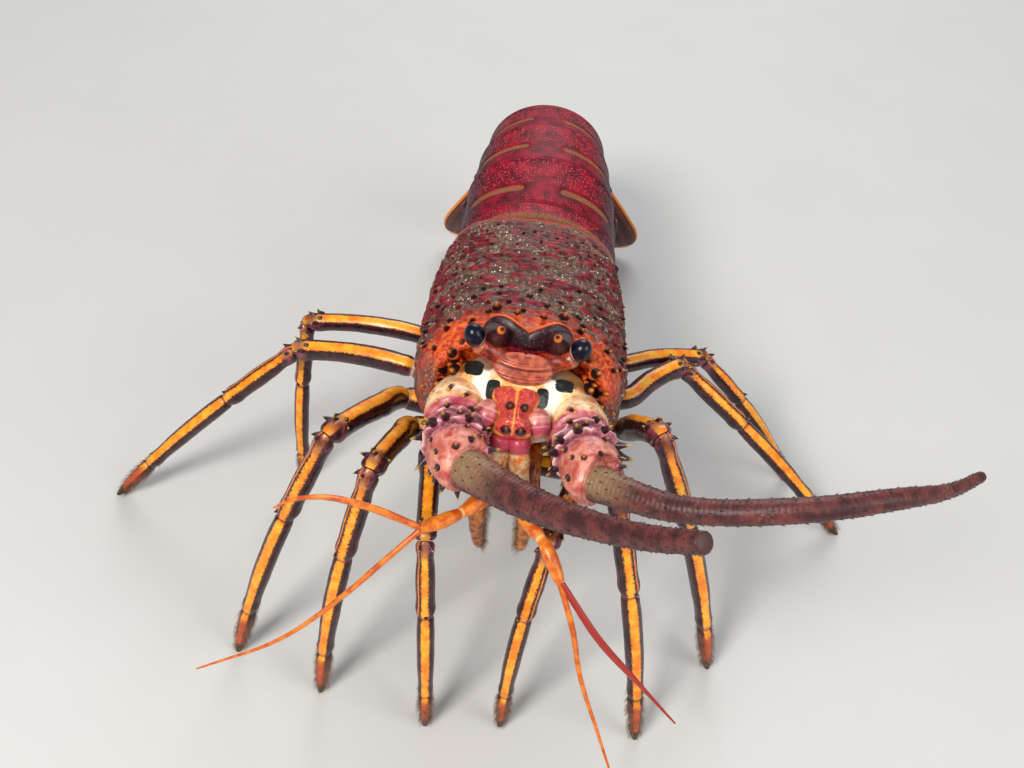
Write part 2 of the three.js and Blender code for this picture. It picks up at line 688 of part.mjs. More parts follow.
// The tail's rings: length along the back, slope of the back, and the section of each ring.
const TAIL = [
  { length: 15, slope: -3, wide: 29.5, deep: 25, hang: 9 },
  { length: 28, slope: 8, wide: 31, deep: 26, hang: 14 },
  { length: 27, slope: -4, wide: 30, deep: 25.5, hang: 13.5 },
  { length: 26, slope: -14, wide: 27.5, deep: 24, hang: 12.5 },
  { length: 28, slope: -40, wide: 25, deep: 22, hang: 11 },
  { length: 28, slope: -68, wide: 22.5, deep: 18, hang: 8 },
];
const TAIL_START = point(5.4, 46.6, 104.2);
const SWAY = 0.018; // the tail runs this much to the left for each millimetre back
const ARC_POINTS = 17; // over the back of a tail ring, side to side
const RING_STATIONS = [
  // share of the length, how far the shell stands proud, groove depth, share of the side point
  [0, -1, 0, 0.15],
  [0.1, -1, 0, 0.35],
  [0.13, 0, 0, 0.45],
  [0.42, 0.1, 0, 0.8],
  [0.46, 0.1, 0.8, 0.86],
  [0.5, 0.1, 0, 0.92],
  [0.7, 0.1, 0, 1.15],
  [0.9, 0.35, 0, 0.5],
  [1, 0.1, 0, 0.2],
];
const GROOVE_FROM = degrees(14); // each groove leaves the middle of the back clear
const GROOVE_TO = degrees(68);
const ARCH_POWER = 0.95; // below 1 the arch of a ring is fuller than an ellipse
const POINT_FLARE = 1.06; // how far the side points stand out from the ring
const BELLY_SHARE = 0.98; // depth of the soft belly as a share of the ring's

// One cross-section: over the back, down to a point on each side, and across the soft belly.
function tailSection(back, slope, roll, wide, deep, hang, grow, groove) {
  const down = point(0, Math.sin(slope), -Math.cos(slope));
  const across = point(Math.cos(roll), 0, -Math.sin(roll));
  const at = (left, below) => back.clone().addScaledVector(across, left).addScaledVector(down, below);
  const half = wide + grow;
  const arch = Array.from({ length: ARC_POINTS }, (_, k) => {
    const turn = (Math.PI * k) / (ARC_POINTS - 1);
    const fromTop = Math.abs(turn - Math.PI / 2);
    const sink = fromTop > GROOVE_FROM && fromTop < GROOVE_TO ? groove : 0;
    const rise = (deep + grow - sink) * Math.sin(turn) ** ARCH_POWER;
    return at((half - sink) * Math.cos(turn), deep - rise);
  });
  const tip = deep + hang + grow;
  const bellyBelow = deep * BELLY_SHARE + grow;
  const belly = [-0.8, -0.45, 0, 0.45, 0.8].map((share) => at(half * share, bellyBelow));
  return [at(half * POINT_FLARE, tip), ...arch, at(-half * POINT_FLARE, tip), ...belly];
}

function tailLoft(index, grow) {
  const ring = TAIL[index];
  const before = TAIL[index - 1] ?? ring;
  const next = TAIL[index + 1] ?? ring;
  const way = point(SWAY, Math.cos(degrees(ring.slope)), Math.sin(degrees(ring.slope)));
  const frontSlope = mix(before.slope, ring.slope, 0.5);
  const rearSlope = mix(ring.slope, next.slope, 0.5);
  const rings = RING_STATIONS.map(([share, proud, groove, sidePoint]) => {
    const trim = share === 0 ? -grow : share === 1 ? grow - GAP : 0;
    const back = tailStarts[index].clone().addScaledVector(way, share * ring.length + trim);
    const slope = degrees(mix(frontSlope, rearSlope, share));
    const roll = degrees(LEAN) * Math.max(0, 1 - index / 4);
    const wide = mix(ring.wide, next.wide, share);
    const deep = mix(ring.deep, next.deep, share);
    const hang = ring.hang * sidePoint;
    return tailSection(back, slope, roll, wide, deep, hang, proud + grow, index ? groove : 0);
  });
  return loft(rings);
}

// The small leaf-shaped swimming feet, a pair under each of four rings.
const LEAF = [
  // how far down from the back as a share of the ring's depth, half width, half thickness
  [0.85, 4, 0.8],
  [1.15, 5, 0.7],
  [1.4, 4.4, 0.6],
  [1.56, 1.6, 0.4],
];

function leafLoft(index, sign) {
  const ring = TAIL[index];
  const slope = degrees(ring.slope);
  const way = point(SWAY, Math.cos(slope), Math.sin(slope));
  const down = point(0, Math.sin(slope), -Math.cos(slope));
  const middle = tailStarts[index].clone().addScaledVector(way, ring.length * 0.55);
  const path = LEAF.map(([share]) => {
    const place = middle.clone().addScaledVector(down, share * ring.deep);
    return place.add(point(sign * ring.wide * 0.5, 0, 0)).addScaledVector(way, 4 * (share - 1));
  });
  return limb(path, LEAF.map((row) => row.slice(1)), { up: point(1, 0, 0) });
}

const LAST_RING = TAIL.length - 1; // the ring that carries the fan, and has no swimming feet
const tailStarts = [TAIL_START];
TAIL.forEach((ring, index) => {
  const way = point(SWAY, Math.cos(degrees(ring.slope)), Math.sin(degrees(ring.slope)));
  tailStarts.push(tailStarts[index].clone().addScaledVector(way, ring.length));
});
TAIL.forEach((_, index) => {
  let solid = tailLoft(index, 0);
  if (index === 0) {
    solid = cut(solid, aroundShell);
  } else if (index < LAST_RING) {
    solid = solid.add(leafLoft(index, -1)).add(leafLoft(index, 1));
  }
  addPart(`tail_ring_${index + 1}`, solid, CRIMSON, 0.4);
});

// The tail fan: a middle blade and two blades on each side, bending back to lie on the floor.
const FAN_ROOT = tailStarts[TAIL.length].clone().add(point(0, -8, 0));
const FAN_CURVE = { from: degrees(-97), to: degrees(-57), length: 58 };
const FAN_RADIUS = FAN_CURVE.length / (FAN_CURVE.to - FAN_CURVE.from);
const BLADE_HALF = 0.6; // half thickness
const RAY = 0.4; // how far the rays stand out
const LAYER = 2 * (BLADE_HALF + RAY) + GAP;
const BLADES = [
  { name: "telson", turn: 0, root: 0, wide: 12, length: 58, layer: 0 },
  { name: "fan_inner_r", turn: -15, root: -8, wide: 11.5, length: 57, layer: 1 },
  { name: "fan_inner_l", turn: 15, root: 8, wide: 11.5, length: 57, layer: 1 },
  { name: "fan_outer_r", turn: -30, root: -14, wide: 11.5, length: 57, layer: 2 },
  { name: "fan_outer_l", turn: 30, root: 14, wide: 11.5, length: 57, layer: 2 },
];
const BLADE_STATIONS = [-0.06, 0.08, 0.25, 0.45, 0.65, 0.82, 0.93, 0.985];
const BLADE_POINTS = 9; // across one face of a blade
const WIDEST = 0.7; // where along its length a blade is widest

// A place on the curved sheet of the fan: along it, across it and above it.
function onFan(along, across, above) {
  const slope = FAN_CURVE.from + along / FAN_RADIUS;
  const y = FAN_RADIUS * (Math.sin(slope) - Math.sin(FAN_CURVE.from));
  const z = FAN_RADIUS * (Math.cos(FAN_CURVE.from) - Math.cos(slope));
  const over = point(0, -Math.sin(slope), Math.cos(slope)).multiplyScalar(above);
  return FAN_ROOT.clone().add(point(across, y, z)).add(over);
}

// Width of a blade as a share of its widest: narrow at the root, rounded off at the end.
function bladeWidth(share) {
  const toWidest = mix(0.9, 0, Math.min(1, share / WIDEST));
  const pastWidest = Math.max(0, (share - WIDEST) / (1 - WIDEST));
  return Math.sqrt(Math.max(0.03, 1 - toWidest ** 2)) * Math.sqrt(1 - pastWidest ** 2.4);
}

function bladeLoft({ turn, root, wide, length, layer }) {
  const angle = degrees(turn);
  const rings = BLADE_STATIONS.map((share) => {
    const reach = share * length;
    const width = wide * bladeWidth(share);
    const face = (side) => Array.from({ length: BLADE_POINTS }, (_, k) => {
      const across = side * mix(-width, width, k / (BLADE_POINTS - 1));
      const ray = k % 2 ? RAY * Math.min(1, share * 4 + 0.3) * (1 - share) ** 0.3 : 0;
      const thick = BLADE_HALF * (1 - 0.4 * Math.abs(across / width) ** 3) + ray;
      const along = reach * Math.cos(angle) - across * Math.sin(angle);
      const aside = root + reach * Math.sin(angle) + across * Math.cos(angle);
      return onFan(along, aside, side * thick - layer * LAYER);
    });
    return [...face(1), ...face(-1)];
  });
  return loft(rings);
}

const FLOOR_REACH = 300;
const FLOOR_DEPTH = 60;
const floorCorners = [[-1, -1], [1, -1], [1, 1], [-1, 1]];
const belowFloor = loft(
  [-FLOOR_DEPTH, 0].map((z) => floorCorners.map(([x, y]) => point(x * FLOOR_REACH, y * FLOOR_REACH, z))),
);
const aroundLastRing = tailLoft(LAST_RING, GAP);
BLADES.forEach((blade) => {
  addPart(blade.name, cut(bladeLoft(blade), aroundLastRing, belowFloor), MAROON, 0.5);
});

export default lobster;
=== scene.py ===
import math

import bpy
import numpy as np
from mathutils import Matrix, noise


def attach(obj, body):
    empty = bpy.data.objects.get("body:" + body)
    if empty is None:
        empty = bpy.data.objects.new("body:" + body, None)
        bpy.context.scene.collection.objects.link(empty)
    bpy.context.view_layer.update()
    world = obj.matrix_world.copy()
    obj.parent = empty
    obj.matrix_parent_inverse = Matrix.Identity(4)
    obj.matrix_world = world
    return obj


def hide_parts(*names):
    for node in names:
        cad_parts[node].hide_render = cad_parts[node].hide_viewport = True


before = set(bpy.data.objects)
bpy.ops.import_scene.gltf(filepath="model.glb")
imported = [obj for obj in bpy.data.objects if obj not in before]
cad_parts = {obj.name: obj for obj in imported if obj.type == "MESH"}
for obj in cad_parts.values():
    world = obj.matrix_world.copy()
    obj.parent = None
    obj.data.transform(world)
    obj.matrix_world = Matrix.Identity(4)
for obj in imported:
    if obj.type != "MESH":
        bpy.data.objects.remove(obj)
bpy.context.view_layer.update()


# The back shell, or carapace.
# On the animal it is one stiff barrel of lime and chitin over the head and breast, open below,
# crossed by a curved groove and by rows of low scales, and partly under a film of brown sediment.

MM = 0.001
SHIFT = np.array([8.6, -17.0, 0.0])  # from the sketch's origin to the part's
BODY_PLACE = np.array([1.2, -12.2, 74.2])
BODY_TURN = np.array(
    Matrix.Rotation(math.radians(-1.9), 3, "Z")
    @ Matrix.Rotation(math.radians(3.5), 3, "Y")
    @ Matrix.Rotation(math.radians(-19.2), 3, "X")
)
draw = np.random.default_rng(20417)


def on_body(places):
    """Places on the body (left, back, above the breast), in the sketch's millimetres."""
    return np.asarray(places, float) @ BODY_TURN.T + BODY_PLACE


def body_way(way):
    """A direction on the body, as a unit direction in the room."""
    way = np.asarray(way, float) @ BODY_TURN.T
    return way / np.linalg.norm(way)


def unit(vectors):
    vectors = np.asarray(vectors, float)
    return vectors / np.maximum(np.linalg.norm(vectors, axis=-1, keepdims=True), 1e-9)


def mix(low, high, share):
    return low + (high - low) * share


def turns(count, offset=0.5):
    """Even steps round a full turn."""
    return 2 * np.pi * (np.arange(count) + offset) / count


def bell(value, middle, width):
    """1 at the middle, and near 0 beyond twice the width."""
    return np.exp(-(((value - middle) / width) ** 2))


def ease(value, low, high):
    """0 below low, 1 above high, and a smooth step between them."""
    share = np.clip((value - low) / (high - low), 0, 1)
    return share * share * (3 - 2 * share)


def smooth_table(at, stations, values):
    """A smooth curve through a table of stations and values."""
    stations, values = np.asarray(stations, float), np.asarray(values, float)
    slopes = np.gradient(values, stations, axis=0)
    k = np.clip(np.searchsorted(stations, at, side="right") - 1, 0, len(stations) - 2)
    width = stations[k + 1] - stations[k]
    s = np.clip((at - stations[k]) / width, 0, 1)
    if values.ndim > 1:
        s, width = s[..., None], width[..., None]
    a = (2 * s**3 - 3 * s**2 + 1) * values[k] + (s**3 - 2 * s**2 + s) * width * slopes[k]
    return a + (3 * s**2 - 2 * s**3) * values[k + 1] + (s**3 - s**2) * width * slopes[k + 1]


def rough(places, size, depth=3):
    """Smooth chance heights from -1 to 1 at places in millimetres."""
    flat = np.asarray(places, float).reshape(-1, 3) / size
    heights = [noise.fractal(p, 1.0, 2.0, depth) for p in flat.tolist()]
    return np.array(heights).reshape(np.asarray(places).shape[:-1])


def to_scene(name, data):
    item = bpy.data.objects.new(name, data)
    bpy.context.scene.collection.objects.link(item)
    return item


def skin_mesh(name, points, faces, material):
    """A smooth mesh from points in the sketch's millimetres."""
    mesh = bpy.data.meshes.new(name)
    mesh.from_pydata(((points + SHIFT) * MM).tolist(), [], faces)
    mesh.polygons.foreach_set("use_smooth", [True] * len(mesh.polygons))
    mesh.materials.append(material)
    return mesh


def set_mark(mesh, mark, values):
    layer = mesh.attributes.new(mark, "FLOAT", "POINT")
    layer.data.foreach_set("value", values.astype(np.float32))


class Heap:
    """Gathers closed skins into one mesh, with a number at each point for each mark."""

    def __init__(self, *marks):
        self.points, self.faces, self.count = [], [], 0
        self.marks = {mark: [] for mark in marks}

    def add(self, points, faces, **marks):
        points = np.asarray(points, float).reshape(-1, 3)
        self.points.append(points)
        self.faces += [tuple(int(i) + self.count for i in face) for face in faces]
        self.count += len(points)
        for mark, values in self.marks.items():
            values.append(np.broadcast_to(marks.get(mark, 0.0), (len(points),)).astype(float))

    def tube(self, rows, **marks):
        """A closed skin through rows of points, with a fan over each end."""
        rows = np.asarray(rows, float)
        n, m = rows.shape[:2]
        k = np.arange(m)
        ring = np.stack([k, (k + 1) % m, (k + 1) % m + m, k + m], axis=1)
        faces = (ring[None] + (np.arange(n - 1) * m)[:, None, None]).reshape(-1, 4).tolist()
        faces += [(n * m, (j + 1) % m, j) for j in range(m)]
        last = (n - 1) * m
        faces += [(n * m + 1, last + j, last + (j + 1) % m) for j in range(m)]
        points = np.concatenate([rows.reshape(-1, 3), rows[[0, -1]].mean(axis=1)])
        across = np.cross(rows[1, 1] - rows[1, 0], rows[min(2, n - 1), 0] - rows[1, 0])
        if across @ (rows[1, 0] - rows[1].mean(axis=0)) > 0:
            faces = [face[::-1] for face in faces]
        ends = {}
        for mark, value in marks.items():
            value = np.broadcast_to(value, (n, m))
            ends[mark] = np.concatenate([value.reshape(-1), value[[0, -1]].mean(axis=1)])
        self.add(points, [face[::-1] for face in faces], **ends)

    def spine(self, foot, way, length, radius, sides=9, bend=(0, 0, 0), sunk=0.35, **marks):
        """A curved spine with a broad sunk foot; the mark "tip" runs from 0 at its foot to 1."""
        way = unit(way)
        side = unit(np.cross(way, (0.31, 0.2, 0.93)))
        over = np.cross(side, way)
        share = np.array([-sunk, 0.0, 0.18, 0.4, 0.62, 0.8, 0.92, 1.0])
        width = radius * np.array([1.25, 1.1, 0.84, 0.62, 0.45, 0.3, 0.18, 0.06])
        turn = turns(sides, 0)
        middle = np.asarray(foot) + share[:, None] * length * way
        middle = middle + (np.clip(share, 0, 1) ** 2)[:, None] * np.asarray(bend, float) * length
        ring = np.cos(turn)[:, None] * side + np.sin(turn)[:, None] * over
        tip = np.clip(share, 0, 1)[:, None]
        self.tube(middle[:, None] + width[:, None, None] * ring, **{"tip": tip, **marks})

    def make(self, name, material):
        mesh = skin_mesh(name, np.concatenate(self.points), self.faces, material)
        for mark, values in self.marks.items():
            set_mark(mesh, mark, np.concatenate(values))
        return to_scene(name, mesh)


SHELL = np.array([
    # place along the body, half width, top, lower edge
    [-50, 27, 43.5, 13],
    [-48, 29.5, 45.5, 10],
    [-38, 33, 47.5, 5],
    [-22, 34.6, 49.2, 2],
    [-1, 34.8, 50.2, 3.5],
    [15, 34.6, 51, 7],
    [32, 33.5, 51, 12],
    [46, 31.8, 50.2, 17],
    [50, 31, 49.9, 19],
    [54, 31, 50.1, 21],
])


def shell_point(back, turn, grow=0.0):
    """A point on the smooth shell, in the body's own measure."""
    wide, top, low = np.moveaxis(smooth_table(back, SHELL[:, 0], SHELL[:, 1:]), -1, 0)
    waist = mix(low, top, 0.4)
    s, c = np.sin(turn), np.cos(turn)
    lower = s < 0
    left = (wide + grow) * np.sign(c) * np.abs(c) ** np.where(lower, 0.6, 0.82)
    reach = np.where(lower, waist - low, top - waist) + grow
    above = waist + reach * np.sign(s) * np.abs(s) ** np.where(lower, 0.6, 0.9)
    return np.stack([left, back + 0 * left, above], axis=-1)


def shell_out(back, turn):
    """The way straight out from the shell at a place, in the body's own measure."""
    along = shell_point(back + 0.5, turn) - shell_point(back - 0.5, turn)
    round_ = shell_point(back, turn + 0.02) - shell_point(back, turn - 0.02)
    return unit(np.cross(along, round_))


SHELL_ROWS, SHELL_SIDES = 232, 340
BACKS = np.concatenate([[-49.6, -50.2], np.linspace(-49.8, 53.4, SHELL_ROWS), [53.8, 54.0, 53.9]])
INSETS = np.concatenate([[-5.0, -2.2], np.zeros(SHELL_ROWS), [-0.25, -0.9, -5.0]])
back_grid, turn_grid = np.meshgrid(np.clip(BACKS, -50, 54), turns(SHELL_SIDES), indexing="ij")
side_angle = np.abs((turn_grid - np.pi / 2 + np.pi) % (2 * np.pi) - np.pi)  # 0 on top of the back
upper = 1 - ease(side_angle, 1.35, 1.9)

# Low scales in staggered rows: wider apart in front of the groove, closer behind it.
groove_line = -3.0 - 11.0 * np.clip(side_angle / 1.4, 0, 1) ** 1.6
groove = bell(back_grid, groove_line, 1.7) * upper
rear_groove = bell(back_grid, 47.6, 0.9) * (1 - ease(side_angle, 1.6, 2.1))
rim = ease(back_grid, 49.0, 50.6)
plum = ease(back_grid, 41.5, 46.5) * ease(side_angle, 1.1, 1.35)
margin = ease(back_grid, 52.2, 52.9)
height = np.zeros(back_grid.shape)
crest = np.zeros(back_grid.shape)
row_at, row_number = -43.0, 0
LAST_ROW, SCALES_IN_ROW, SCALE_TURN = 45.5, 27, 0.118
BACK_RADIUS = 33.0  # of the shell's back, to turn angles into millimetres
while row_at < LAST_ROW:
    spacing = mix(4.6, 3.6, ease(row_at, -30, 10)) * mix(1, 1.25, (row_number % 3) / 2)
    for k in range(SCALES_IN_ROW):
        angle = (k - SCALES_IN_ROW // 2 + 0.5 * (row_number % 2)) * SCALE_TURN + draw.normal(0, 0.018)
        if abs(angle) > 1.5 or draw.random() < 0.12:
            continue
        bow = 3.2 * math.cos(angle) - 2.2
        at = row_at - bow + draw.normal(0, 0.5)
        if abs(at - (-3.0 - 11.0 * (abs(angle) / 1.4) ** 1.6)) < 1.8 or at > 46 or at < -49:
            continue
        wide, tall = draw.uniform(1.6, 3.2), draw.uniform(0.7, 1.3)
        i0, i1 = np.searchsorted(BACKS[2:-3], [at - 3.5, at + 5]) + 2
        near = slice(i0, i1)
        x = (turn_grid[near] - np.pi / 2 - angle) * BACK_RADIUS
        y = back_grid[near] - at
        curl = y - 0.10 * x**2  # the front edge of a scale is a forward-facing crescent
        front = np.where(curl < 0, bell(curl, 0, 0.42), bell(curl, 0, 2.0))
        bump = front * np.exp(-((x / wide) ** 4))
        height[near] = np.maximum(height[near], tall * bump)
        face = bell(curl, -0.1, 0.85) * np.exp(-((x / (wide * 0.9)) ** 4))
        shown = noise.noise((angle * 2.4, row_number * 0.8, 5.0)) > 0.02
        crest[near] = np.maximum(crest[near], face * draw.uniform(0.7, 1.0) * (1.0 if shown else 0.25))
    row_at += spacing
    row_number += 1
places = shell_point(back_grid, turn_grid)
out = shell_out(np.clip(back_grid, -49, 53), turn_grid)
lumps = rough(on_body(places), 9.0, 4)
proud = INSETS[:, None] + height + 0.35 * lumps + 0.3 * rim * upper
proud = proud - 1.15 * groove - 0.55 * rear_groove
shell_rows = on_body(places + out * proud[..., None])
fore = 1 - ease(back_grid, -47, -33 + 5 * np.cos(side_angle))
bare = np.clip(fore * (1 - 0.6 * ease(side_angle, 0.9, 1.5)) + 0.35 * rim, 0, 1)

glow = np.exp(-((places[..., 0] / 6.5) ** 2) - ((back_grid + 49.5) / 3.5) ** 2) * upper
carapace = Heap("crest", "bare", "tip", "groove", "dark", "plum", "margin", "glow")
carapace.tube(
    shell_rows, crest=crest, bare=bare, groove=np.clip(groove + rear_groove, 0, 1),
    plum=plum, margin=margin, glow=glow,
)

# Spines on the shell: rows that point forward, and the strong ones behind the horns and on the cheeks.
SPINE_ROWS = [
    # place along the body, spines in the row, length, half width
    [-45, 5, 3.6, 1.2],
    [-40, 8, 4.0, 1.25],
    [-35, 7, 3.4, 1.1],
    [-30, 10, 3.4, 1.1],
    [-24, 9, 3.0, 1.0],
    [-18, 11, 2.8, 0.95],
    [-12, 10, 2.5, 0.9],
    [3, 10, 2.4, 0.85],
    [8, 9, 2.2, 0.8],
    [14, 11, 2.2, 0.8],
    [20, 10, 2.1, 0.75],
    [26, 11, 2.0, 0.72],
    [32, 10, 1.9, 0.7],
    [38, 11, 1.8, 0.66],
    [44, 10, 1.6, 0.6],
]
for at, count, length, radius in SPINE_ROWS:
    for k in range(count):
        turn = np.pi / 2 + 1.28 * (2 * (k + 0.5) / count - 1) + draw.normal(0, 0.035)
        back = at + draw.normal(0, 0.9)
        if at < -42 and abs(turn - np.pi / 2) < 0.42:
            continue
        foot = shell_point(np.array(back), np.array(turn))
        outward = shell_out(np.array(back), np.array(turn))
        scale = draw.uniform(0.75, 1.2)
        carapace.spine(
            on_body(foot), body_way(outward + np.array([0, -draw.uniform(0.75, 1.1), 0])),
            length * scale, radius * draw.uniform(0.9, 1.15), bend=0.18 * body_way([0, -1, 0.3]),
            bare=0.2 + 0.8 * float(back < -38), dark=float(draw.random() < 0.55 + 0.4 * (back < -30)),
        )
STRONG_SPINES = [
    # left, back, above; way; length; half width
    [(9.2, -45.4, 45.0), (0.05, -0.82, 0.55), 6.4, 2.9],
    [(10.5, -33, 46.8), (0.1, -0.8, 0.6), 5.6, 1.9],
    [(4.2, -37, 47.2), (0, -0.75, 0.66), 4.4, 1.5],
    [(18.5, -45, 39), (0.35, -0.85, 0.35), 7.0, 2.1],
    [(20.5, -47.5, 33), (0.45, -0.85, 0.1), 5.6, 1.8],
    [(24, -45.5, 29.5), (0.55, -0.8, 0.15), 6.2, 2.0],
    [(27.5, -44, 23), (0.6, -0.8, 0), 5.6, 1.8],
    [(22.2, -49.6, 37), (0.3, -0.85, 0.4), 4.0, 1.9],
    [(20.6, -50.2, 31.6), (0.3, -0.9, 0.3), 4.6, 2.3],
    [(24.4, -49.8, 26), (0.4, -0.85, 0.3), 4.4, 2.2],
]
for sign in (-1, 1):
    for (left, back, above), (x, y, z), length, radius in STRONG_SPINES:
        carapace.spine(
            on_body((sign * left, back, above)), body_way((sign * x, y, z)), length, radius,
            sides=14, bend=0.2 * body_way([0, -0.4, 0.5]), bare=1.0, dark=1.0,
        )


def tone(code):
    """A colour from six hex digits, as linear light."""
    parts = [int(code[k:k + 2], 16) / 255 for k in (0, 2, 4)]
    return tuple(p / 12.92 if p <= 0.04045 else ((p + 0.055) / 1.055) ** 2.4 for p in parts) + (1.0,)


class Nodes:
    """A node tree under construction: nodes are added and joined by name."""

    def __init__(self, tree, place):
        self.tree, self.place = tree, place

    def node(self, kind, **settings):
        node = self.tree.nodes.new(kind)
        for key, value in settings.items():
            setattr(node, key, value)
        return node

    def feed(self, socket, value):
        """A link from another node's output, a colour's code, or a plain value."""
        if isinstance(value, bpy.types.NodeSocket):
            self.tree.links.new(value, socket)
        else:
            socket.default_value = tone(value) if isinstance(value, str) else value

    def mark(self, name, *bounds):
        """A mark of the skin, or a smooth step of it between bounds."""
        value = self.node("ShaderNodeAttribute", attribute_name=name).outputs["Fac"]
        return self.step(value, *bounds) if bounds else value

    def math(self, kind, *values):
        node = self.node("ShaderNodeMath", operation=kind)
        for socket, value in zip(node.inputs, values):
            self.feed(socket, value)
        return node.outputs[0]

    def plus(self, a, b):
        return self.math("ADD", a, b)

    def minus(self, a, b):
        return self.math("SUBTRACT", a, b)

    def times(self, a, b):
        return self.math("MULTIPLY", a, b)

    def step(self, value, low, high, out_low=0.0, out_high=1.0):
        """A smooth step of a value between two bounds."""
        node = self.node("ShaderNodeMapRange", interpolation_type="SMOOTHSTEP")
        for socket, given in zip(node.inputs, (value, low, high, out_low, out_high)):
            self.feed(socket, given)
        return node.outputs[0]

    def blend(self, share, a, b, kind="MIX"):
        node = self.node("ShaderNodeMix", data_type="RGBA", blend_type=kind)
        for name, value in (("Factor", share), ("A", a), ("B", b)):
            self.feed(node.inputs[name], value)
        return node.outputs["Result"]

    def mottled(self, cloud, a, b, low=0.35, high=0.65):
        """Two colours in soft patches."""
        return self.blend(self.step(cloud, low, high), a, b)

    def layers(self, colour, *layers):
        """Lays colours over one another, each by a share: a value, a mark or a mark's step."""
        for share, over in layers:
            if isinstance(share, (str, tuple)):
                share = self.mark(*([share] if isinstance(share, str) else share))
            colour = self.blend(share, colour, over)
        return colour

    def texture(self, kind, size, **values):
        """A texture with features of a size in millimetres."""
        node = self.node(kind)
        self.tree.links.new(self.place, node.inputs["Vector"])
        for name, value in {"Scale": 1 / (size * MM), **values}.items():
            node.inputs[name].default_value = value
        return node

    def cloud(self, size, detail=4.0, roughness=0.55, warp=0.0):
        values = {"Detail": detail, "Roughness": roughness, "Distortion": warp}
        return self.texture("ShaderNodeTexNoise", size, **values).outputs["Fac"]

    def cells(self, size, chance=1.0):
        """Distance to the nearest seed of cells, and each cell's own colour."""
        return self.texture("ShaderNodeTexVoronoi", size, Randomness=chance).outputs

    def ramp(self, value, *stops):
        node = self.node("ShaderNodeValToRGB")
        bar = node.color_ramp.elements
        for stop, (at, code) in zip((bar[0], bar[1]), (stops[0], stops[-1])):
            stop.position, stop.color = at, tone(code)
        for at, code in stops[1:-1]:
            bar.new(at).color = tone(code)
        self.feed(node.inputs["Fac"], value)
        return node.outputs["Color"]

    def bump(self, height, strength, depth_mm):
        node = self.node("ShaderNodeBump")
        for name, value in (("Strength", strength), ("Distance", depth_mm * MM), ("Height", height)):
            self.feed(node.inputs[name], value)
        return node.outputs["Normal"]


class Finish(Nodes):
    """The material of a piece."""

    def __init__(self, name):
        self.material = bpy.data.materials.new(name)
        self.material.use_nodes = True
        super().__init__(self.material.node_tree, None)
        self.place = self.node("ShaderNodeTexCoord").outputs["Object"]

    def finish(self, colour, roughness, normal=None, **plain):
        """Feeds the shader; the plain values are those of its sockets with the same name."""
        sockets = self.tree.nodes["Principled BSDF"].inputs
        given = {"Base Color": colour, "Roughness": roughness}
        given.update({name.replace("_", " "): value for name, value in plain.items()})
        for name, value in given.items():
            self.feed(sockets[name], value)
        if normal:
            self.feed(sockets["Normal"], normal)


def silt_group():
    """Sediment: how much of it lies at a place, its grain and its colour, from clouds and specks."""
    tree = bpy.data.node_groups.new("silt", "ShaderNodeTree")
    for name, way, kind in (
        ("Place", "INPUT", "Vector"), ("Cover", "INPUT", "Float"),
        ("Amount", "OUTPUT", "Float"), ("Grain", "OUTPUT", "Float"), ("Color", "OUTPUT", "Color"),
    ):
        tree.interface.new_socket(name, in_out=way, socket_type=f"NodeSocket{kind}")
    source, sink = tree.nodes.new("NodeGroupInput").outputs, tree.nodes.new("NodeGroupOutput").inputs
    g = Nodes(tree, source["Place"])
    large, fine = g.cloud(9.0, 5.0, 0.5), g.cloud(1.3, 8.0, 0.75)
    uneven = g.plus(g.times(large, 0.9), g.times(fine, 0.6))
    g.feed(sink["Amount"], g.step(g.plus(source["Cover"], g.minus(uneven, 0.75)), 0.38, 0.62))
    brown = g.ramp(fine, (0.34, "22120f"), (0.45, "553830"), (0.56, "8a6858"), (0.68, "d2b8a6"))
    warm = g.ramp(large, (0.35, "a8907e"), (0.65, "ffffff"))
    specks = g.cells(0.85)
    pick = g.node("ShaderNodeSeparateColor")
    g.feed(pick.inputs["Color"], specks["Color"])
    near = g.math("LESS_THAN", specks["Distance"], 0.34)
    bright = g.times(near, g.math("GREATER_THAN", pick.outputs[0], 0.87))
    dark = g.times(near, g.math("LESS_THAN", pick.outputs[1], 0.14))
    dotted = g.blend(bright, g.blend(0.75, brown, warm, "MULTIPLY"), "efe6dd")
    g.feed(sink["Color"], g.blend(dark, dotted, "1d1512"))
    g.feed(sink["Grain"], g.plus(fine, g.times(bright, 0.5)))
    return tree


SILT = silt_group()


def silt_over(finish, cover, colour, strength=1.0):
    """Lays sediment over a colour; gives the new colour, its amount and its grain."""
    group = finish.node("ShaderNodeGroup", node_tree=SILT)
    finish.feed(group.inputs["Place"], finish.place)
    finish.feed(group.inputs["Cover"], cover)
    amount = finish.times(group.outputs["Amount"], strength)
    return finish.blend(amount, colour, group.outputs["Color"]), amount, group.outputs["Grain"]


f = shell_finish = Finish("shell_crimson_and_silt")
tip, crest_mark, bare_mark = f.mark("tip"), f.mark("crest"), f.mark("bare")
mottle = f.cloud(3.0, 5.0)
crimson = f.mottled(mottle, "430711", "8e0f22", 0.38, 0.66)
orange_red = f.mottled(f.cloud(1.6, 5.0), "bc2814", "ff7628", 0.38, 0.64)
lined = f.layers(
    f.blend(f.times(bare_mark, 0.9), crimson, orange_red),
    ("glow", f.blend(mottle, "e0501a", "ff9a40")),
    ("plum", "2c1226"),
    ("margin", f.blend(f.mark("plum"), "b3202a", "e08a4e")),
)
cover = f.minus(f.minus(0.7, f.times(crest_mark, 0.8)), f.times(bare_mark, 0.48))
cover = f.plus(cover, f.times(f.mark("groove"), 0.12))
cover = f.minus(cover, f.times(f.mark("plum"), 0.45))
dusty, silt, grain = silt_over(f, f.minus(cover, f.mark("margin")), lined)
bare_step = f.step(bare_mark, 0.3, 0.9)
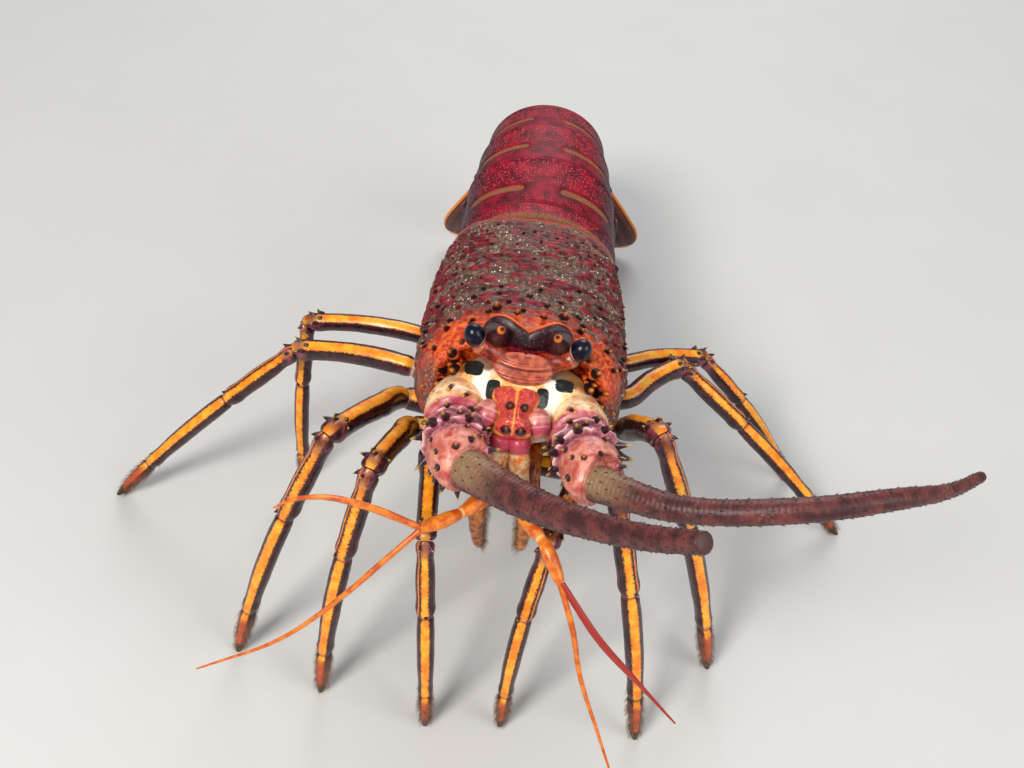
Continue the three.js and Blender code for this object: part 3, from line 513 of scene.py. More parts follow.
spine_low = f.blend(f.mark("dark"), "7d1a16", "1b0a10")
spine_tone = f.blend(f.step(tip, 0.62, 0.92), spine_low, f.blend(bare_step, "8f5a34", "d8802c"))
halo = f.times(f.times(f.step(tip, 0.002, 0.03), bare_step), 0.85)
spiny = f.layers(dusty, (halo, "f0701c"), (f.step(tip, 0.07, 0.16), spine_tone))
pits = f.cells(0.55)
relief = f.plus(f.times(grain, 0.8), f.times(pits["Distance"], 0.5))
f.finish(
    spiny, f.step(silt, 0.0, 1.0, 0.34, 0.82), f.bump(relief, 0.75, 0.35),
    Specular_IOR_Level=0.4, Coat_Weight=0.06, Coat_Roughness=0.3,
)


def fit(skins, name, finish, slot, *nodes):
    """Makes a piece with its finish, hangs it on the one body, and hides the parts of the model that it
    replaces.
    """
    piece = skins.make(name, finish.material)
    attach(piece, "root")
    if nodes:
        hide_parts(*nodes)


fit(carapace, "carapace_shell", shell_finish, "shell", "carapace")


# The tail: six rings of shell over one strong muscle, hinged at their sides, and arched down behind.
# Each ring slides under the one before it, has a felted groove across each half of its back,
# and ends at the sides in a point that hangs below the soft belly.

RING_ROWS, RING_SIDES = 54, 150
TAIL = [
    # length, slope of the back, half width, depth, reach of the side points
    (15, -3, 29.5, 25, 9),
    (28, 8, 31, 26, 14),
    (27, -4, 30, 25.5, 13.5),
    (26, -14, 27.5, 24, 12.5),
    (28, -40, 25, 22, 11),
    (28, -68, 22.5, 18, 8),
]
SWAY = 0.018  # of the tail to the left, for each millimetre of its length
# Along a ring, as shares of its length: how far its side point hangs down, as a share of the full reach.
RING_STATIONS = np.array([0, 0.1, 0.13, 0.42, 0.5, 0.7, 0.82, 0.92, 1])
SIDE_POINT = np.array([0.15, 0.35, 0.45, 0.8, 0.92, 1.15, 0.92, 0.45, 0.2])


def ring_way(slope):
    return np.array([SWAY, math.cos(math.radians(slope)), math.sin(math.radians(slope))])


tail_starts = [np.array([5.4, 46.6, 104.2])]
for length, slope, *_ in TAIL:
    tail_starts.append(tail_starts[-1] + length * ring_way(slope))


def ring_place(index, share, left, below):
    """A place on a tail ring: share of its length, to the left, and below the line of its back."""
    length, slope, *_ = TAIL[index]
    before, after = TAIL[max(index - 1, 0)][1], TAIL[min(index + 1, 5)][1]
    lean = np.radians(mix((before + slope) / 2, (slope + after) / 2, share))
    roll = math.radians(3.5) * max(0, 1 - index / 4)
    across = np.array([math.cos(roll), 0, -math.sin(roll)])
    down = np.stack([0 * lean, np.sin(lean), -np.cos(lean)], axis=-1)
    middle = tail_starts[index] + share[..., None] * length * ring_way(slope)
    return middle + left[..., None] * across + below[..., None] * down


def ring_sizes(index):
    """Half width and depth of a tail ring, at its front edge and at the front edge of the next one."""
    _, _, wide, deep, _ = TAIL[index]
    _, _, next_wide, next_deep, _ = TAIL[min(index + 1, 5)]
    return wide, next_wide, deep, next_deep


def tail_ring(index):
    """Rows of points round a ring (flank, back, flank, inner side, belly, inner side), and its marks."""
    length, hang = TAIL[index][0], TAIL[index][4]
    wide, next_wide, deep, next_deep = ring_sizes(index)
    first = index == 0
    over_next = {0: 4.6, 5: -0.3}.get(index, 2.2)  # how far the rear edge reaches over the next ring
    share = np.concatenate([[0.0], np.linspace(0, 1, RING_ROWS), [1.0]])
    share = mix(0.3 * first, 1 + over_next / length, share)
    s, t = np.meshgrid(share, np.linspace(0, np.pi, RING_SIDES), indexing="ij")
    off_top = np.abs(t - np.pi / 2)
    if first:
        groove = 0.8 * bell((s - 0.68) * length, 0, 1.5) * (1 - ease(off_top, 1.2, 1.45))
        lap = 1 - ease(s, 0.56, 0.62)
    else:
        covered = 4.4 if index == 1 else 2.0
        window = ease(off_top, 0.19, 0.3) * (1 - ease(off_top, 1.0, 1.22))
        groove = bell((s - 0.46 + 0.02 * np.cos(off_top * 2)) * length, 0, 1.5) * window
        lap = 1 - ease(s * length, covered, covered + 0.9)
    end = share[-1]
    lip = bell((s / end - 0.965) * length, 0, 1.1)
    proud = 0.1 - 1.1 * lap - 0.85 * groove * (not first) + 0.3 * lip - 1.2 * ease(s / end, 0.992, 1.0)
    tall = mix(deep, next_deep, s)
    arch = ((mix(wide, next_wide, s) + proud) * np.cos(t), tall - (tall + proud) * np.sin(t) ** 0.95)
    point = hang * smooth_table(share, RING_STATIONS, SIDE_POINT)[:, None]
    low = mix(deep, next_deep, share)[:, None]
    edge = mix(wide, next_wide, share)[:, None] + proud[:, :1]
    fall = np.linspace(1, 0, 14)[None, :-1]
    flank = (edge * (1 + 0.06 * np.sin(fall * np.pi / 2)), low + point * fall)
    rise = np.linspace(1, 0, 10)[None, 1:]
    inner = (edge * mix(0.8, 1.035, rise ** 0.7), mix(low * 0.98, low + point, rise))
    belly_at = np.linspace(-0.74, 0.74, 25)[None]
    ribs = 0.5 * np.sin(share * 2 * np.pi * 2)[:, None]
    belly = (edge * belly_at, low * 0.98 + ribs * (1 - belly_at ** 2) + 0 * belly_at)
    left, below = [
        np.concatenate([hanging, back, side * hanging[:, ::-1], side * within, under, within[:, ::-1]], axis=1)
        for hanging, back, within, under, side in zip(flank, arch, inner, belly, (-1, 1))
    ]

    def spread(back_part, flank_part=0.0, under=0.0):
        """A mark's values on the back, the flanks and all that is below, in the order of the points."""
        flank_part = np.broadcast_to(flank_part, flank[0].shape)
        under = np.full((len(share), 2 * inner[0].shape[1] + belly[0].shape[1]), under)
        return np.concatenate([flank_part, back_part + 0 * s, flank_part[:, ::-1], under], axis=1)

    rear_rim = 0.9 * ease(share / end, 0.93, 0.99)[:, None] * ease(fall, 0.1, 0.5)
    rim = np.maximum(ease(fall, 0.86, 1.0), rear_rim)
    front_dots = 0.35 * ease(s, 0.14, 0.2) * (1 - ease(s, 0.3, 0.42))
    marks = {
        "groove": spread(groove),
        # fold carries painted shade: the recessed lap at a ring's front, under the edge of the ring or shell
        # before it
        "fold": spread(lap),
        "flank": spread(ease(off_top, 0.5, 1.25), 1.0, 0.6),
        "rim": spread(0.35 * ease(off_top, 1.2, 1.57) * ease(s / end, 0.95, 1.0), rim),
        "belly": spread(0.0, 0.0, 1.0),
        "dots": spread(ease(s, 0.5, 0.62) * (1 - lip * 0.7) + front_dots),
    }
    return ring_place(index, np.broadcast_to(share[:, None], left.shape), left, below), marks


f = tail_finish = Finish("tail_crimson_with_pale_dots")
mottle = f.cloud(5.0, 5.0)
back_tone = f.mottled(mottle, "540415", "960426", 0.32, 0.68)
flank_tone = f.mottled(mottle, "260d16", "4e2230", 0.35, 0.7)
skin_tone = f.blend(f.mark("flank", 0.1, 0.9), back_tone, flank_tone)
seeds = f.cells(1.05, chance=0.7)
dot = f.times(f.step(seeds["Distance"], 0.38, 0.2), f.mark("dots", 0.15, 0.6))
# The mark fold lays painted shade: dark brown on the recessed lap under the ring or shell in front.
under = f.layers(
    skin_tone, (f.times(dot, 0.8), "d4565c"), (("groove", 0.25, 0.6), "8a5434"), ("fold", "4a1a14"),
    (("rim", 0.25, 0.7), "d98a45"), ("belly", "9c6a58"),
)
dusty, silt, _ = silt_over(f, f.plus(f.times(f.mark("flank"), 0.19), 0.06), under, 0.6)
relief = f.plus(f.times(mottle, 0.4), f.times(dot, 0.6))
f.finish(
    dusty, f.step(silt, 0.0, 1.0, 0.5, 0.8), f.bump(relief, 0.6, 0.3),
    Specular_IOR_Level=0.2,
)
LEAF_AT = [0.85, 1.15, 1.4, 1.56]  # stations on a swimming foot, in depths of the ring below its back
for index in range(6):
    rows, marks = tail_ring(index)
    ring = Heap("groove", "fold", "flank", "rim", "belly", "dots", "tip")
    ring.tube(rows, **marks)
    for sign in (-1, 1) if 1 <= index <= 4 else ():
        length, _, wide, deep, _ = TAIL[index]
        shares = np.linspace(LEAF_AT[0], LEAF_AT[-1], 22)
        left = sign * wide * 0.5 + 0 * shares
        curve = ring_place(index, 0.55 + 4 * (shares - 1) / length, left, shares * deep)
        way = unit(np.gradient(curve, axis=0))
        broad, thin = smooth_table(shares, LEAF_AT, [(4.0, 0.8), (5.0, 0.7), (4.4, 0.6), (0.6, 0.3)]).T
        over = unit(np.cross(np.cross(way, (1, 0, 0)), way))
        across = unit(np.cross(way, over))
        turn = turns(28, 0)
        leaf = curve[:, None] + (broad[:, None] * np.cos(turn))[..., None] * across[:, None]
        leaf = leaf + (thin[:, None] * np.sin(turn))[..., None] * over[:, None]
        ring.tube(leaf, belly=0.8, rim=(np.abs(np.cos(turn)) > 0.97)[None] * 0.8)
    fit(ring, f"tail_ring_{index + 1}_shell", tail_finish, "tail", f"tail_ring_{index + 1}")


# The tail fan: a middle blade and two blades on each side, stiff at the root and leathery beyond.
# Each blade is a thin double skin braced by fine rays, and it hangs down to the floor.

FAN_ROOT = tail_starts[6] + np.array([0, -8, 0])
FAN_FROM, FAN_TO, FAN_LENGTH = math.radians(-97), math.radians(-57), 58.0
FAN_RADIUS = FAN_LENGTH / (FAN_TO - FAN_FROM)
BLADES = {
    # turn from the middle, root to the left, half width, length, layer
    "telson": (0, 0, 12, 58, 0),
    "fan_inner_r": (-15, -8, 11.5, 57, 1),
    "fan_inner_l": (15, 8, 11.5, 57, 1),
    "fan_outer_r": (-30, -14, 11.5, 57, 2),
    "fan_outer_l": (30, 14, 11.5, 57, 2),
}
BLADE_HALF, RAY_HALF = 0.6, 0.4  # half thickness of a blade, and how far its rays stand out
LAYER = 2 * (BLADE_HALF + RAY_HALF) + 0.3  # from one layer of blades to the next


def on_fan(along, across, above):
    """A place on the curved sheet of the fan."""
    slope = FAN_FROM + along / FAN_RADIUS
    y = FAN_RADIUS * (np.sin(slope) - math.sin(FAN_FROM)) - above * np.sin(slope)
    z = FAN_RADIUS * (math.cos(FAN_FROM) - np.cos(slope)) + above * np.cos(slope)
    return FAN_ROOT + np.stack([across, y, z], axis=-1)


def there_and_back(rows, rear_rows):
    """Rows across the front of a sheet that return across its rear."""
    return np.concatenate([rows, rear_rows[:, ::-1]], axis=1)


f = fan_finish = Finish("fan_maroon_with_orange_edge")
mottle = f.cloud(4.0, 5.0)
stiff = f.mottled(mottle, "3a0d14", "6d1620")
leather = f.mottled(mottle, "1d1120", "45201f")
edged = f.layers(
    stiff, ("soft", leather), (f.times(f.mark("ray"), 0.4), "a04a26"), (("edge", 0.2, 0.8), "f0881e"),
)
dusty, silt, _ = silt_over(f, 0.22, edged, 0.7)
f.finish(
    dusty, f.step(silt, 0.0, 1.0, 0.33, 0.75), f.bump(mottle, 0.4, 0.2),
    Specular_IOR_Level=0.45, Coat_Weight=0.15, Coat_Roughness=0.25,
)
for node, (angle, root, wide, length, layer) in BLADES.items():
    angle = math.radians(angle)
    share = np.concatenate([np.linspace(0.02, 0.9, 60), np.linspace(0.91, 0.992, 16)])
    width = wide * np.sqrt(np.maximum(0.03, 1 - mix(0.9, 0, np.minimum(1, share / 0.7)) ** 2))
    width = width * np.sqrt(1 - np.maximum(0, (share - 0.7) / 0.3) ** 2.4)
    s, x = np.meshgrid(share, np.linspace(-1, 1, 81), indexing="ij")
    across = width[:, None] * x
    main = np.cos(np.pi * (x * 4 + 1) / 2) ** 2 * (np.abs(x) < 0.96)
    fine = np.cos(np.pi * x * 14) ** 2 * ease(s, 0.3, 0.45) * 0.35
    ray = np.maximum(main ** 1.5, fine) * np.minimum(1, s * 4 + 0.3) * (1 - s) ** 0.3
    thick = BLADE_HALF * (1 - 0.75 * np.abs(x) ** 6) + 0.95 * RAY_HALF * ray
    along = s * length * math.cos(angle) - across * math.sin(angle)
    aside = root + s * length * math.sin(angle) + across * math.cos(angle)
    rows = there_and_back(*[on_fan(along, aside, above - layer * LAYER) for above in (thick, -thick)])
    rows[..., 2] = np.maximum(rows[..., 2], 0.02)
    edge = np.maximum(ease(np.abs(x), 0.87, 0.96), ease(s, 0.95, 0.985))
    soft = ease(s + 0.05 * np.cos(x * 5), 0.36, 0.46)
    blade = Heap("edge", "soft", "ray", "tip")
    marks = {"edge": edge, "soft": soft, "ray": ray}
    blade.tube(rows, **{mark: there_and_back(values, values) for mark, values in marks.items()})
    fit(blade, f"{node}_blade", fan_finish, "tail_fan", node)


# The ten walking legs: long jointed tubes of shell, each bent at a knobbed knee.
# A bright line runs along the top of each, and the last joint is a bristly claw that stands on its tip.

LEGS = {
    # hip on the body (left side), knee and foot of the right and the left leg, thickness
    1: ((25, -37, -5), {"r": ((-23, -86, 84), (-21, -100)), "l": ((15, -85, 84), (5, -98))}, 0.9),
    2: ((33, -26, -3), {"r": ((-41, -75, 102), (-59, -90)), "l": ((35, -77, 99), (52, -99))}, 1.0),
    3: ((38, -13, 1), {"r": ((-56, -63, 103), (-91, -76)), "l": ((48, -57, 108), (79, -68))}, 1.03),
    4: ((40.5, 3, 6), {"r": ((-79.5, 5, 74), (-153, -8)), "l": ((62, 12, 74), (135, 0))}, 1.0),
    5: ((38, 18, 12), {"r": ((-77, 16, 78), (-81, 7)), "l": ((72, 25, 67), (118, 28))}, 0.86),
}
THIGH = np.array([
    # share of the way from root to knee, half thickness
    [0, 4.4], [0.1, 4.7], [0.22, 4.6], [0.3, 4.5], [0.335, 4.1], [0.35, 3.55], [0.37, 4.1], [0.42, 4.3],
    [0.6, 4.35], [0.8, 4.1], [0.9, 4.2], [0.95, 4.5], [0.98, 4.3], [1.0, 3.3],
])
LOWER = np.array([
    # share of the way from knee to floor, half thickness
    [0, 2.9], [0.012, 3.6], [0.035, 3.7], [0.07, 3.3], [0.12, 3.7], [0.18, 3.9], [0.27, 3.75],
    [0.315, 3.9], [0.333, 3.3], [0.342, 2.75], [0.352, 3.2], [0.38, 3.45], [0.5, 3.55], [0.62, 3.45],
    [0.72, 3.05], [0.765, 3.15], [0.78, 2.75], [0.788, 2.3], [0.797, 2.7], [0.83, 3.0], [0.9, 2.55],
    [0.96, 1.85], [0.99, 1.4], [1.0, 1.2],
])
UP = np.array([0, 0, 1.0])
SIDES = (("r", -1), ("l", 1))
LEG_SIDES = 40
BRISTLES = 520  # on each leg
SHIN_PLACES = [0, 0.06, 0.14, 0.27, 0.4, 0.58, 0.74, 0.84, 0.92, 1.0]


def curve_through(points, shares):
    """A smooth curve through points, at shares of its length, and its direction there."""
    points = np.asarray(points, float)
    reach = np.concatenate([[0], np.cumsum(np.linalg.norm(np.diff(points, axis=0), axis=1))])
    curve = smooth_table(shares, reach / reach[-1], points)
    return curve, unit(np.gradient(curve, shares, axis=0))


def frames(way, up):
    """The directions across and over at each point of a curve."""
    across = unit(np.cross(way, up))
    return across, unit(np.cross(across, way))


def sweep(curve, way, up, sides, wide, tall=None):
    """Rows of points round a curve, and the turn of each point; the section is round without tall."""
    across, over = frames(way, up)
    turn = turns(sides)
    tall = wide if tall is None else tall
    wide = np.asarray(wide, float).reshape(len(curve), -1) * np.cos(turn)
    tall = np.asarray(tall, float).reshape(len(curve), -1) * np.sin(turn)
    return curve[:, None] + wide[..., None] * across[:, None] + tall[..., None] * over[:, None], turn


def steer(way, other, share):
    """Turns the ways along a curve toward another way, by a share at each point."""
    return unit(way * (1 - share)[:, None] + other * share[:, None])


def lean_at(across, over, angle):
    """The way straight out of a tube at an angle from across."""
    return np.cos(angle)[..., None] * across + np.sin(angle)[..., None] * over


def grain_on(curve, sides, stretch, size):
    """Chance heights on a tube: one for each side at each point of its curve."""
    return rough(np.repeat(curve[:, None], sides, axis=1) + stretch * np.arange(sides)[:, None], size)


class Coat:
    """Gathers single hairs into one mesh; each keeps the patch of its root on the skin's own unwrap."""

    def __init__(self):
        self.points, self.patches = [], []

    def add(self, roots, ways, lengths, width, droop, patches):
        roots, ways = np.asarray(roots, float), unit(ways)
        n = len(roots)
        lengths = np.broadcast_to(lengths, (n,))[:, None, None]
        side = unit(np.cross(ways, (0.3, 0.5, 0.81)))
        over = np.cross(side, ways)
        share = np.array([-0.12, 0.4, 0.75, 1.0])[None, :, None]
        spine = roots[:, None] + share * lengths * ways[:, None]
        spine = spine + share**2 * lengths * np.asarray(droop, float)
        spine[..., 2] = np.maximum(spine[..., 2], 0.1)
        turn = turns(3, 0)
        ring = side[:, None] * np.cos(turn)[:, None] + over[:, None] * np.sin(turn)[:, None]
        thick = width * np.array([1.0, 0.8, 0.5])[None, :, None, None]
        body = spine[:, :3, None] + thick * ring[:, None]
        self.points.append(np.concatenate([body.reshape(n, 9, 3), spine[:, 3:]], axis=1))
        self.patches.append(np.broadcast_to(patches, (n, 2)))

    def make(self, name, material):
        points = np.concatenate(self.points)
        n = len(points)
        one = [(2, 1, 0)]
        for low in (0, 3):
            one += [(low + k, low + (k + 1) % 3, low + 3 + (k + 1) % 3, low + 3 + k) for k in range(3)]
        one += [(6 + k, 6 + (k + 1) % 3, 9) for k in range(3)]
        faces = [tuple(10 * h + k for k in face) for h in range(n) for face in one]
        mesh = skin_mesh(name, points.reshape(-1, 3), faces, material)
        corner = np.empty(len(mesh.loops), int)
        mesh.loops.foreach_get("vertex_index", corner)
        patch = np.concatenate(self.patches)[corner // 10]
        step = np.stack([corner % 3, corner % 10 // 3], axis=1) * 0.001
        layer = mesh.uv_layers.new(name="OFBake")
        layer.data.foreach_set("uv", (patch * 0.99 + step).astype(np.float32).ravel())
        set_mark(mesh, "tip", np.tile(np.repeat([0, 0.4, 0.75, 1.0], [3, 3, 3, 1]), n))
        return to_scene(name, mesh)

    def brush(self, skin, at, angle, slope, lengths, width, droop, patches):
        """Hair on a tube (curve, ways, upward way, radius), at points of its curve and angles round it."""
        curve, way, up, radius = skin
        across, over = frames(way, up)
        lean = lean_at(across[at], over[at], angle)
        feet = curve[at] + lean * radius[at][:, None]
        patches = np.stack(patches, axis=1)
        self.add(feet, lean + slope * way[at], lengths, width, droop * way[at][:, None], patches)


def thigh_at(hip, knee, share):
    """A place on the thigh, which bows up a little."""
    return mix(hip, knee, share) + 2.2 * math.sin(math.pi * share) * UP


def shin_at(knee, foot, out_way, share):
    """A place between knee and floor, where the leg bows outward."""
    return knee + share * (foot - knee) + 3.5 * math.sin(math.pi * share) * out_way


f = leg_finish = Finish("leg_maroon_with_orange_line")
mottle, fine = f.cloud(4.0, 5.0), f.cloud(0.7, 3.0)
knob = f.mottled(mottle, "3c1420", "9a4c58", 0.42, 0.62)
ragged = f.plus(f.mark("top"), f.times(f.minus(fine, 0.5), 0.22))
narrow = f.times(f.mark("second", 0.2, 0.4), 0.055)
line = f.times(f.step(f.minus(ragged, narrow), 0.84, 0.92), f.minus(1.0, f.times(f.mark("joint"), 0.85)))
line_tone = f.mottled(mottle, "f87a08", "ffb62c", 0.3, 0.7)
second = f.times(f.step(ragged, 0.64, 0.69), f.step(ragged, 0.81, 0.77))
dactyl = f.mottled(mottle, "5e1c10", "b0441a")
spiny = f.layers(
    f.mottled(mottle, "1c0a0e", "4a161c"),
    (("top", -0.4, -0.95), "6b2a20"),
    (f.times(f.mark("joint"), 0.8), knob),
    (line, f.blend(f.mark("claw", 0.0, 0.7), line_tone, "d2500f")),
    (f.times(second, f.mark("second", 0.6, 0.9)), "ec7d1c"),
    (f.times(f.mark("claw"), f.step(line, 0.0, 1.0, 1.0, 0.25)), dactyl),
    (("claw", 0.72, 1.0), "2a1410"),
    ("seam", "d9a98c"),
    (("tip", 0.02, 0.12), "2a1016"),
    (("tip", 0.55, 0.85), "c9a23c"),
)
f.finish(
    spiny, f.step(fine, 0.3, 0.7, 0.24, 0.42), f.bump(f.plus(mottle, f.times(fine, 0.5)), 0.35, 0.25),
    Specular_IOR_Level=0.45, Coat_Weight=0.14, Coat_Roughness=0.18,
)
KNEE_SPINES = [
    # share of the thigh, degrees from the top, length
    (0.945, 0, 3.0), (0.93, 55, 2.4), (0.93, -55, 2.4), (0.9, 25, 1.6), (0.9, -25, 1.6),
]
bristles = Coat()
for leg_index, (number, (tag, sign)) in enumerate((number, side) for number in LEGS for side in SIDES):
    (left, back, above), feet, thickness = LEGS[number]
    knee, foot = np.array(feet[tag][0], float), np.array([*feet[tag][1], 0.0])
    root = on_body((sign * left * 0.3, back * 0.95, above * 0.6 - 2))
    hip = on_body((sign * left, back, above))
    out_way = unit([foot[0] - knee[0], foot[1] - knee[1], 0])
    knee_way = unit(unit(knee - thigh_at(hip, knee, 0.8)) + unit(shin_at(knee, foot, out_way, 0.1) - knee))
    leg = Heap("top", "joint", "second", "claw", "seam", "tip")

    shares = np.concatenate([np.linspace(0, 0.97, 84), np.linspace(0.975, 1.0, 7)])
    path = [root, mix(root, hip, 0.5), hip, thigh_at(hip, knee, 0.35), thigh_at(hip, knee, 0.75), knee]
    curve, way = curve_through(path, shares)
    way = steer(way, knee_way, ease(shares, 0.93, 1.0))
    radius = thickness * smooth_table(shares, THIGH[:, 0], THIGH[:, 1])
    thick = radius[:, None] * (1 + 0.035 * grain_on(curve, LEG_SIDES, 3, 4.0))
    rows, turn = sweep(curve, way, unit(UP + np.array([0, -0.45, 0])), LEG_SIDES, 0.88 * thick, thick)
    joint = bell(shares, 0.95, 0.035) + 0.6 * bell(shares, 0.34, 0.02)
    leg.tube(
        rows, top=np.sin(turn)[None], joint=np.clip(joint, 0, 1)[:, None],
        seam=bell(shares, 0.352, 0.006)[:, None],
    )
    across, over = frames(way, UP)
    for share, angle, reach in KNEE_SPINES:
        k = np.searchsorted(shares, share)
        lean = lean_at(over[k], across[k], np.radians(angle))
        foot_at = curve[k] + lean * radius[k] * 0.92
        leg.spine(foot_at, lean + 0.9 * way[k], reach * thickness, 0.85, bend=0.15 * lean)

    shares = np.concatenate([
        [0.0], np.linspace(0.004, 0.3, 56), np.linspace(0.305, 0.4, 34), np.linspace(0.41, 0.75, 44),
        np.linspace(0.755, 0.83, 28), np.linspace(0.84, 1.0, 34),
    ])
    path = [shin_at(knee, foot, out_way, share) for share in SHIN_PLACES]
    path[0] = knee + knee_way * 0.3
    curve, way = curve_through(path, shares)
    way = steer(way, knee_way, 1 - ease(shares, 0, 0.05))
    way = steer(way, -UP, ease(shares, 0.97, 1.0))
    radius = thickness * smooth_table(shares, LOWER[:, 0], LOWER[:, 1])
    radius[-1] = 1.2
    thick = radius[:, None] * (1 + 0.03 * grain_on(curve, LEG_SIDES, 3, 4.0))
    facing = unit(mix(0.3, 0.8, ease(number, 3, 4)) * out_way + np.array([0, -0.75, 0.3]))
    rows, turn = sweep(curve, way, facing, LEG_SIDES, 0.9 * thick, thick)
    rows[..., 2] = np.maximum(rows[..., 2], 0.01)
    joint = bell(shares, 0.02, 0.03) + bell(shares, 0.342, 0.005) + bell(shares, 0.788, 0.004)
    claw = ease(shares, 0.79, 0.85) * 0.7 + ease(shares, 0.93, 0.97) * 0.3
    leg.tube(
        rows, top=np.sin(turn)[None], joint=np.clip(joint, 0, 1)[:, None], claw=claw[:, None],
        second=((shares < 0.33) * 1.0)[:, None] * mix(0.45, 1.0, sign * np.cos(turn) < 0)[None],
    )
    across, over = frames(way, out_way)
    for share, angle, reach in ((0.02, 30, 1.8), (0.02, -30, 1.8), (0.32, 0, 1.5)):
        k = np.searchsorted(shares, share)
        lean = lean_at(over[k], across[k], np.radians(angle))
        leg.spine(curve[k] + lean * radius[k] * 0.92, lean + 0.8 * way[k], reach, 0.7)
    at = np.sort(0.74 + 0.235 * draw.random(BRISTLES) ** 0.75)
    angle = 2 * np.pi * draw.random(BRISTLES)
    lengths = draw.uniform(1.3, 2.6, BRISTLES) * ease(at, 0.72, 0.8)
    bristles.brush(
        (curve, way, out_way, radius * 0.93), np.searchsorted(shares, at), angle, 1.5, lengths, 0.055, 0.35,
        ((leg_index + angle / 7) / 10 * 0.98, at * 0.98),
    )
    nodes = [f"leg_{number}_{part}_{tag}" for part in ("upper", "lower")]
    fit(leg, f"walking_leg_{number}_{tag}", leg_finish, "leg", *nodes)
f = bristle_finish = Finish("brown_bristle")
f.finish(f.blend(f.mark("tip"), "4a2a16", "a8763c"), 0.5)
fit(bristles, "leg_bristles", bristle_finish, "leg")


# The tail's felt: short brown-gold hair that fills the grooves of the rings, and a fringe of it
# that stands along the front ring, just behind the edge of the back shell.

GROOVE_HAIRS, FRINGE_HAIRS = 900, 4200  # in each half of a groove, and along the front ring
f = felt_finish = Finish("felt_brown_gold")
f.finish(f.blend(f.mark("tip"), "6e4229", "d0946a"), 0.7)
felt = Coat()


def felt_on(index, share, off_top, sunk):
    """Places and outward ways on the back of a ring, and the way along it."""
    wide, next_wide, deep, next_deep = ring_sizes(index)
    turn = np.pi / 2 + off_top
    half, tall = mix(wide, next_wide, share) - sunk, mix(deep, next_deep, share)
    foot = ring_place(index, share, half * np.cos(turn), tall - (tall - sunk) * np.sin(turn))
    outer = ring_place(index, share, 1.1 * half * np.cos(turn), tall - 1.1 * tall * np.sin(turn))
    return foot, unit(outer - foot), ring_way(TAIL[index][1])


for sign in (-1, 1):
    for index in range(1, 5):
        off_top = sign * (0.2 + 0.95 * draw.random(GROOVE_HAIRS) ** 1.15)
        spread_of = 0.06 * (1 - 0.6 * ease(np.abs(off_top), 0.5, 1.15))
        share = 0.46 - 0.02 * np.cos(off_top * 2) + spread_of * draw.uniform(-1, 1, GROOVE_HAIRS)
        foot, outward, along = felt_on(index, share, off_top, 0.9)
        lean = outward * 0.6 + along + 0.3 * draw.normal(0, 1, (GROOVE_HAIRS, 3))
        patch = np.stack([0.5 + off_top / 3.4, 0.1 + (index + share) / 7], axis=1)
        felt.add(foot, lean, draw.uniform(0.9, 1.5, GROOVE_HAIRS), 0.06, 0.25 * along, patch)
off_top = draw.uniform(-1.35, 1.35, FRINGE_HAIRS)
share = 0.69 + 0.06 * draw.normal(0, 1, FRINGE_HAIRS) * (1 - 0.5 * ease(np.abs(off_top), 0.7, 1.3))
foot, outward, along = felt_on(0, share, off_top, 0.1)
lean = outward * 0.8 + along * draw.uniform(-0.2, 1.0, FRINGE_HAIRS)[:, None]
lean = lean + 0.3 * draw.normal(0, 1, (FRINGE_HAIRS, 3))
patch = np.stack([0.5 + off_top / 3.4, 0.01 + share / 9], axis=1)
felt.add(foot, lean, draw.uniform(0.8, 1.5, FRINGE_HAIRS), 0.06, 0.2 * along, patch)
fit(felt, "tail_felt", felt_finish, "tail")


# The breast plate under the shell: fused plates, wider toward the rear, that the legs hang from.
# It closes the barrel of the back shell from below; seams cross it, and one runs along its middle.

BREAST = np.array([
    # place along the body, half width, top, underside
    [-46, 8, 12, -6], [-38, 11, 10, -10], [-10, 16, 8, -11], [20, 20, 12, -8], [42, 19, 18, 2],
])
f = breast_finish = Finish("breast_plate_tan")
mottle = f.cloud(6.0, 5.0)
plain = f.mottled(mottle, "7d3c26", "c98a5a")
f.finish(f.blend(f.mark("groove"), plain, "4a1d14"), 0.4, f.bump(mottle, 0.4, 0.3), Coat_Weight=0.2)
backs = np.concatenate([[-46.0, -45.9], np.linspace(-45.6, 41.6, 120), [41.9, 42.0]])
ends = np.concatenate([[0.5, 0.85], np.ones(120), [0.85, 0.5]])[:, None]
turn = turns(96, 0)
wide, top, low = [smooth_table(backs, BREAST[:, 0], BREAST[:, k])[:, None] for k in (1, 2, 3)]
seams = sum(bell(backs, at, 0.9) for at in (-37, -25, -12, 3, 19))
seam_grid = seams[:, None] * (np.sin(turn) < 0.2) + 0.8 * bell(turn, 1.5 * np.pi, 0.05)
inset = -0.7 * np.clip(seam_grid, 0, 1)
rows = on_body(np.stack([
    (wide * ends + inset) * np.cos(turn), backs[:, None] + 0 * turn,
    (top + low) / 2 + ((top - low) / 2 * ends + inset) * np.sin(turn),
], axis=-1))
breast = Heap("groove")
breast.tube(rows, groove=np.clip(seam_grid, 0, 1))
fit(breast, "breast_plate_shell", breast_finish, "underside", "breast_plate")


# The face: smooth cream shell under the front rim, with dark spots, a ribbed plate between the eyes,
# and a narrow forked plate with four spines that carries the small feelers.

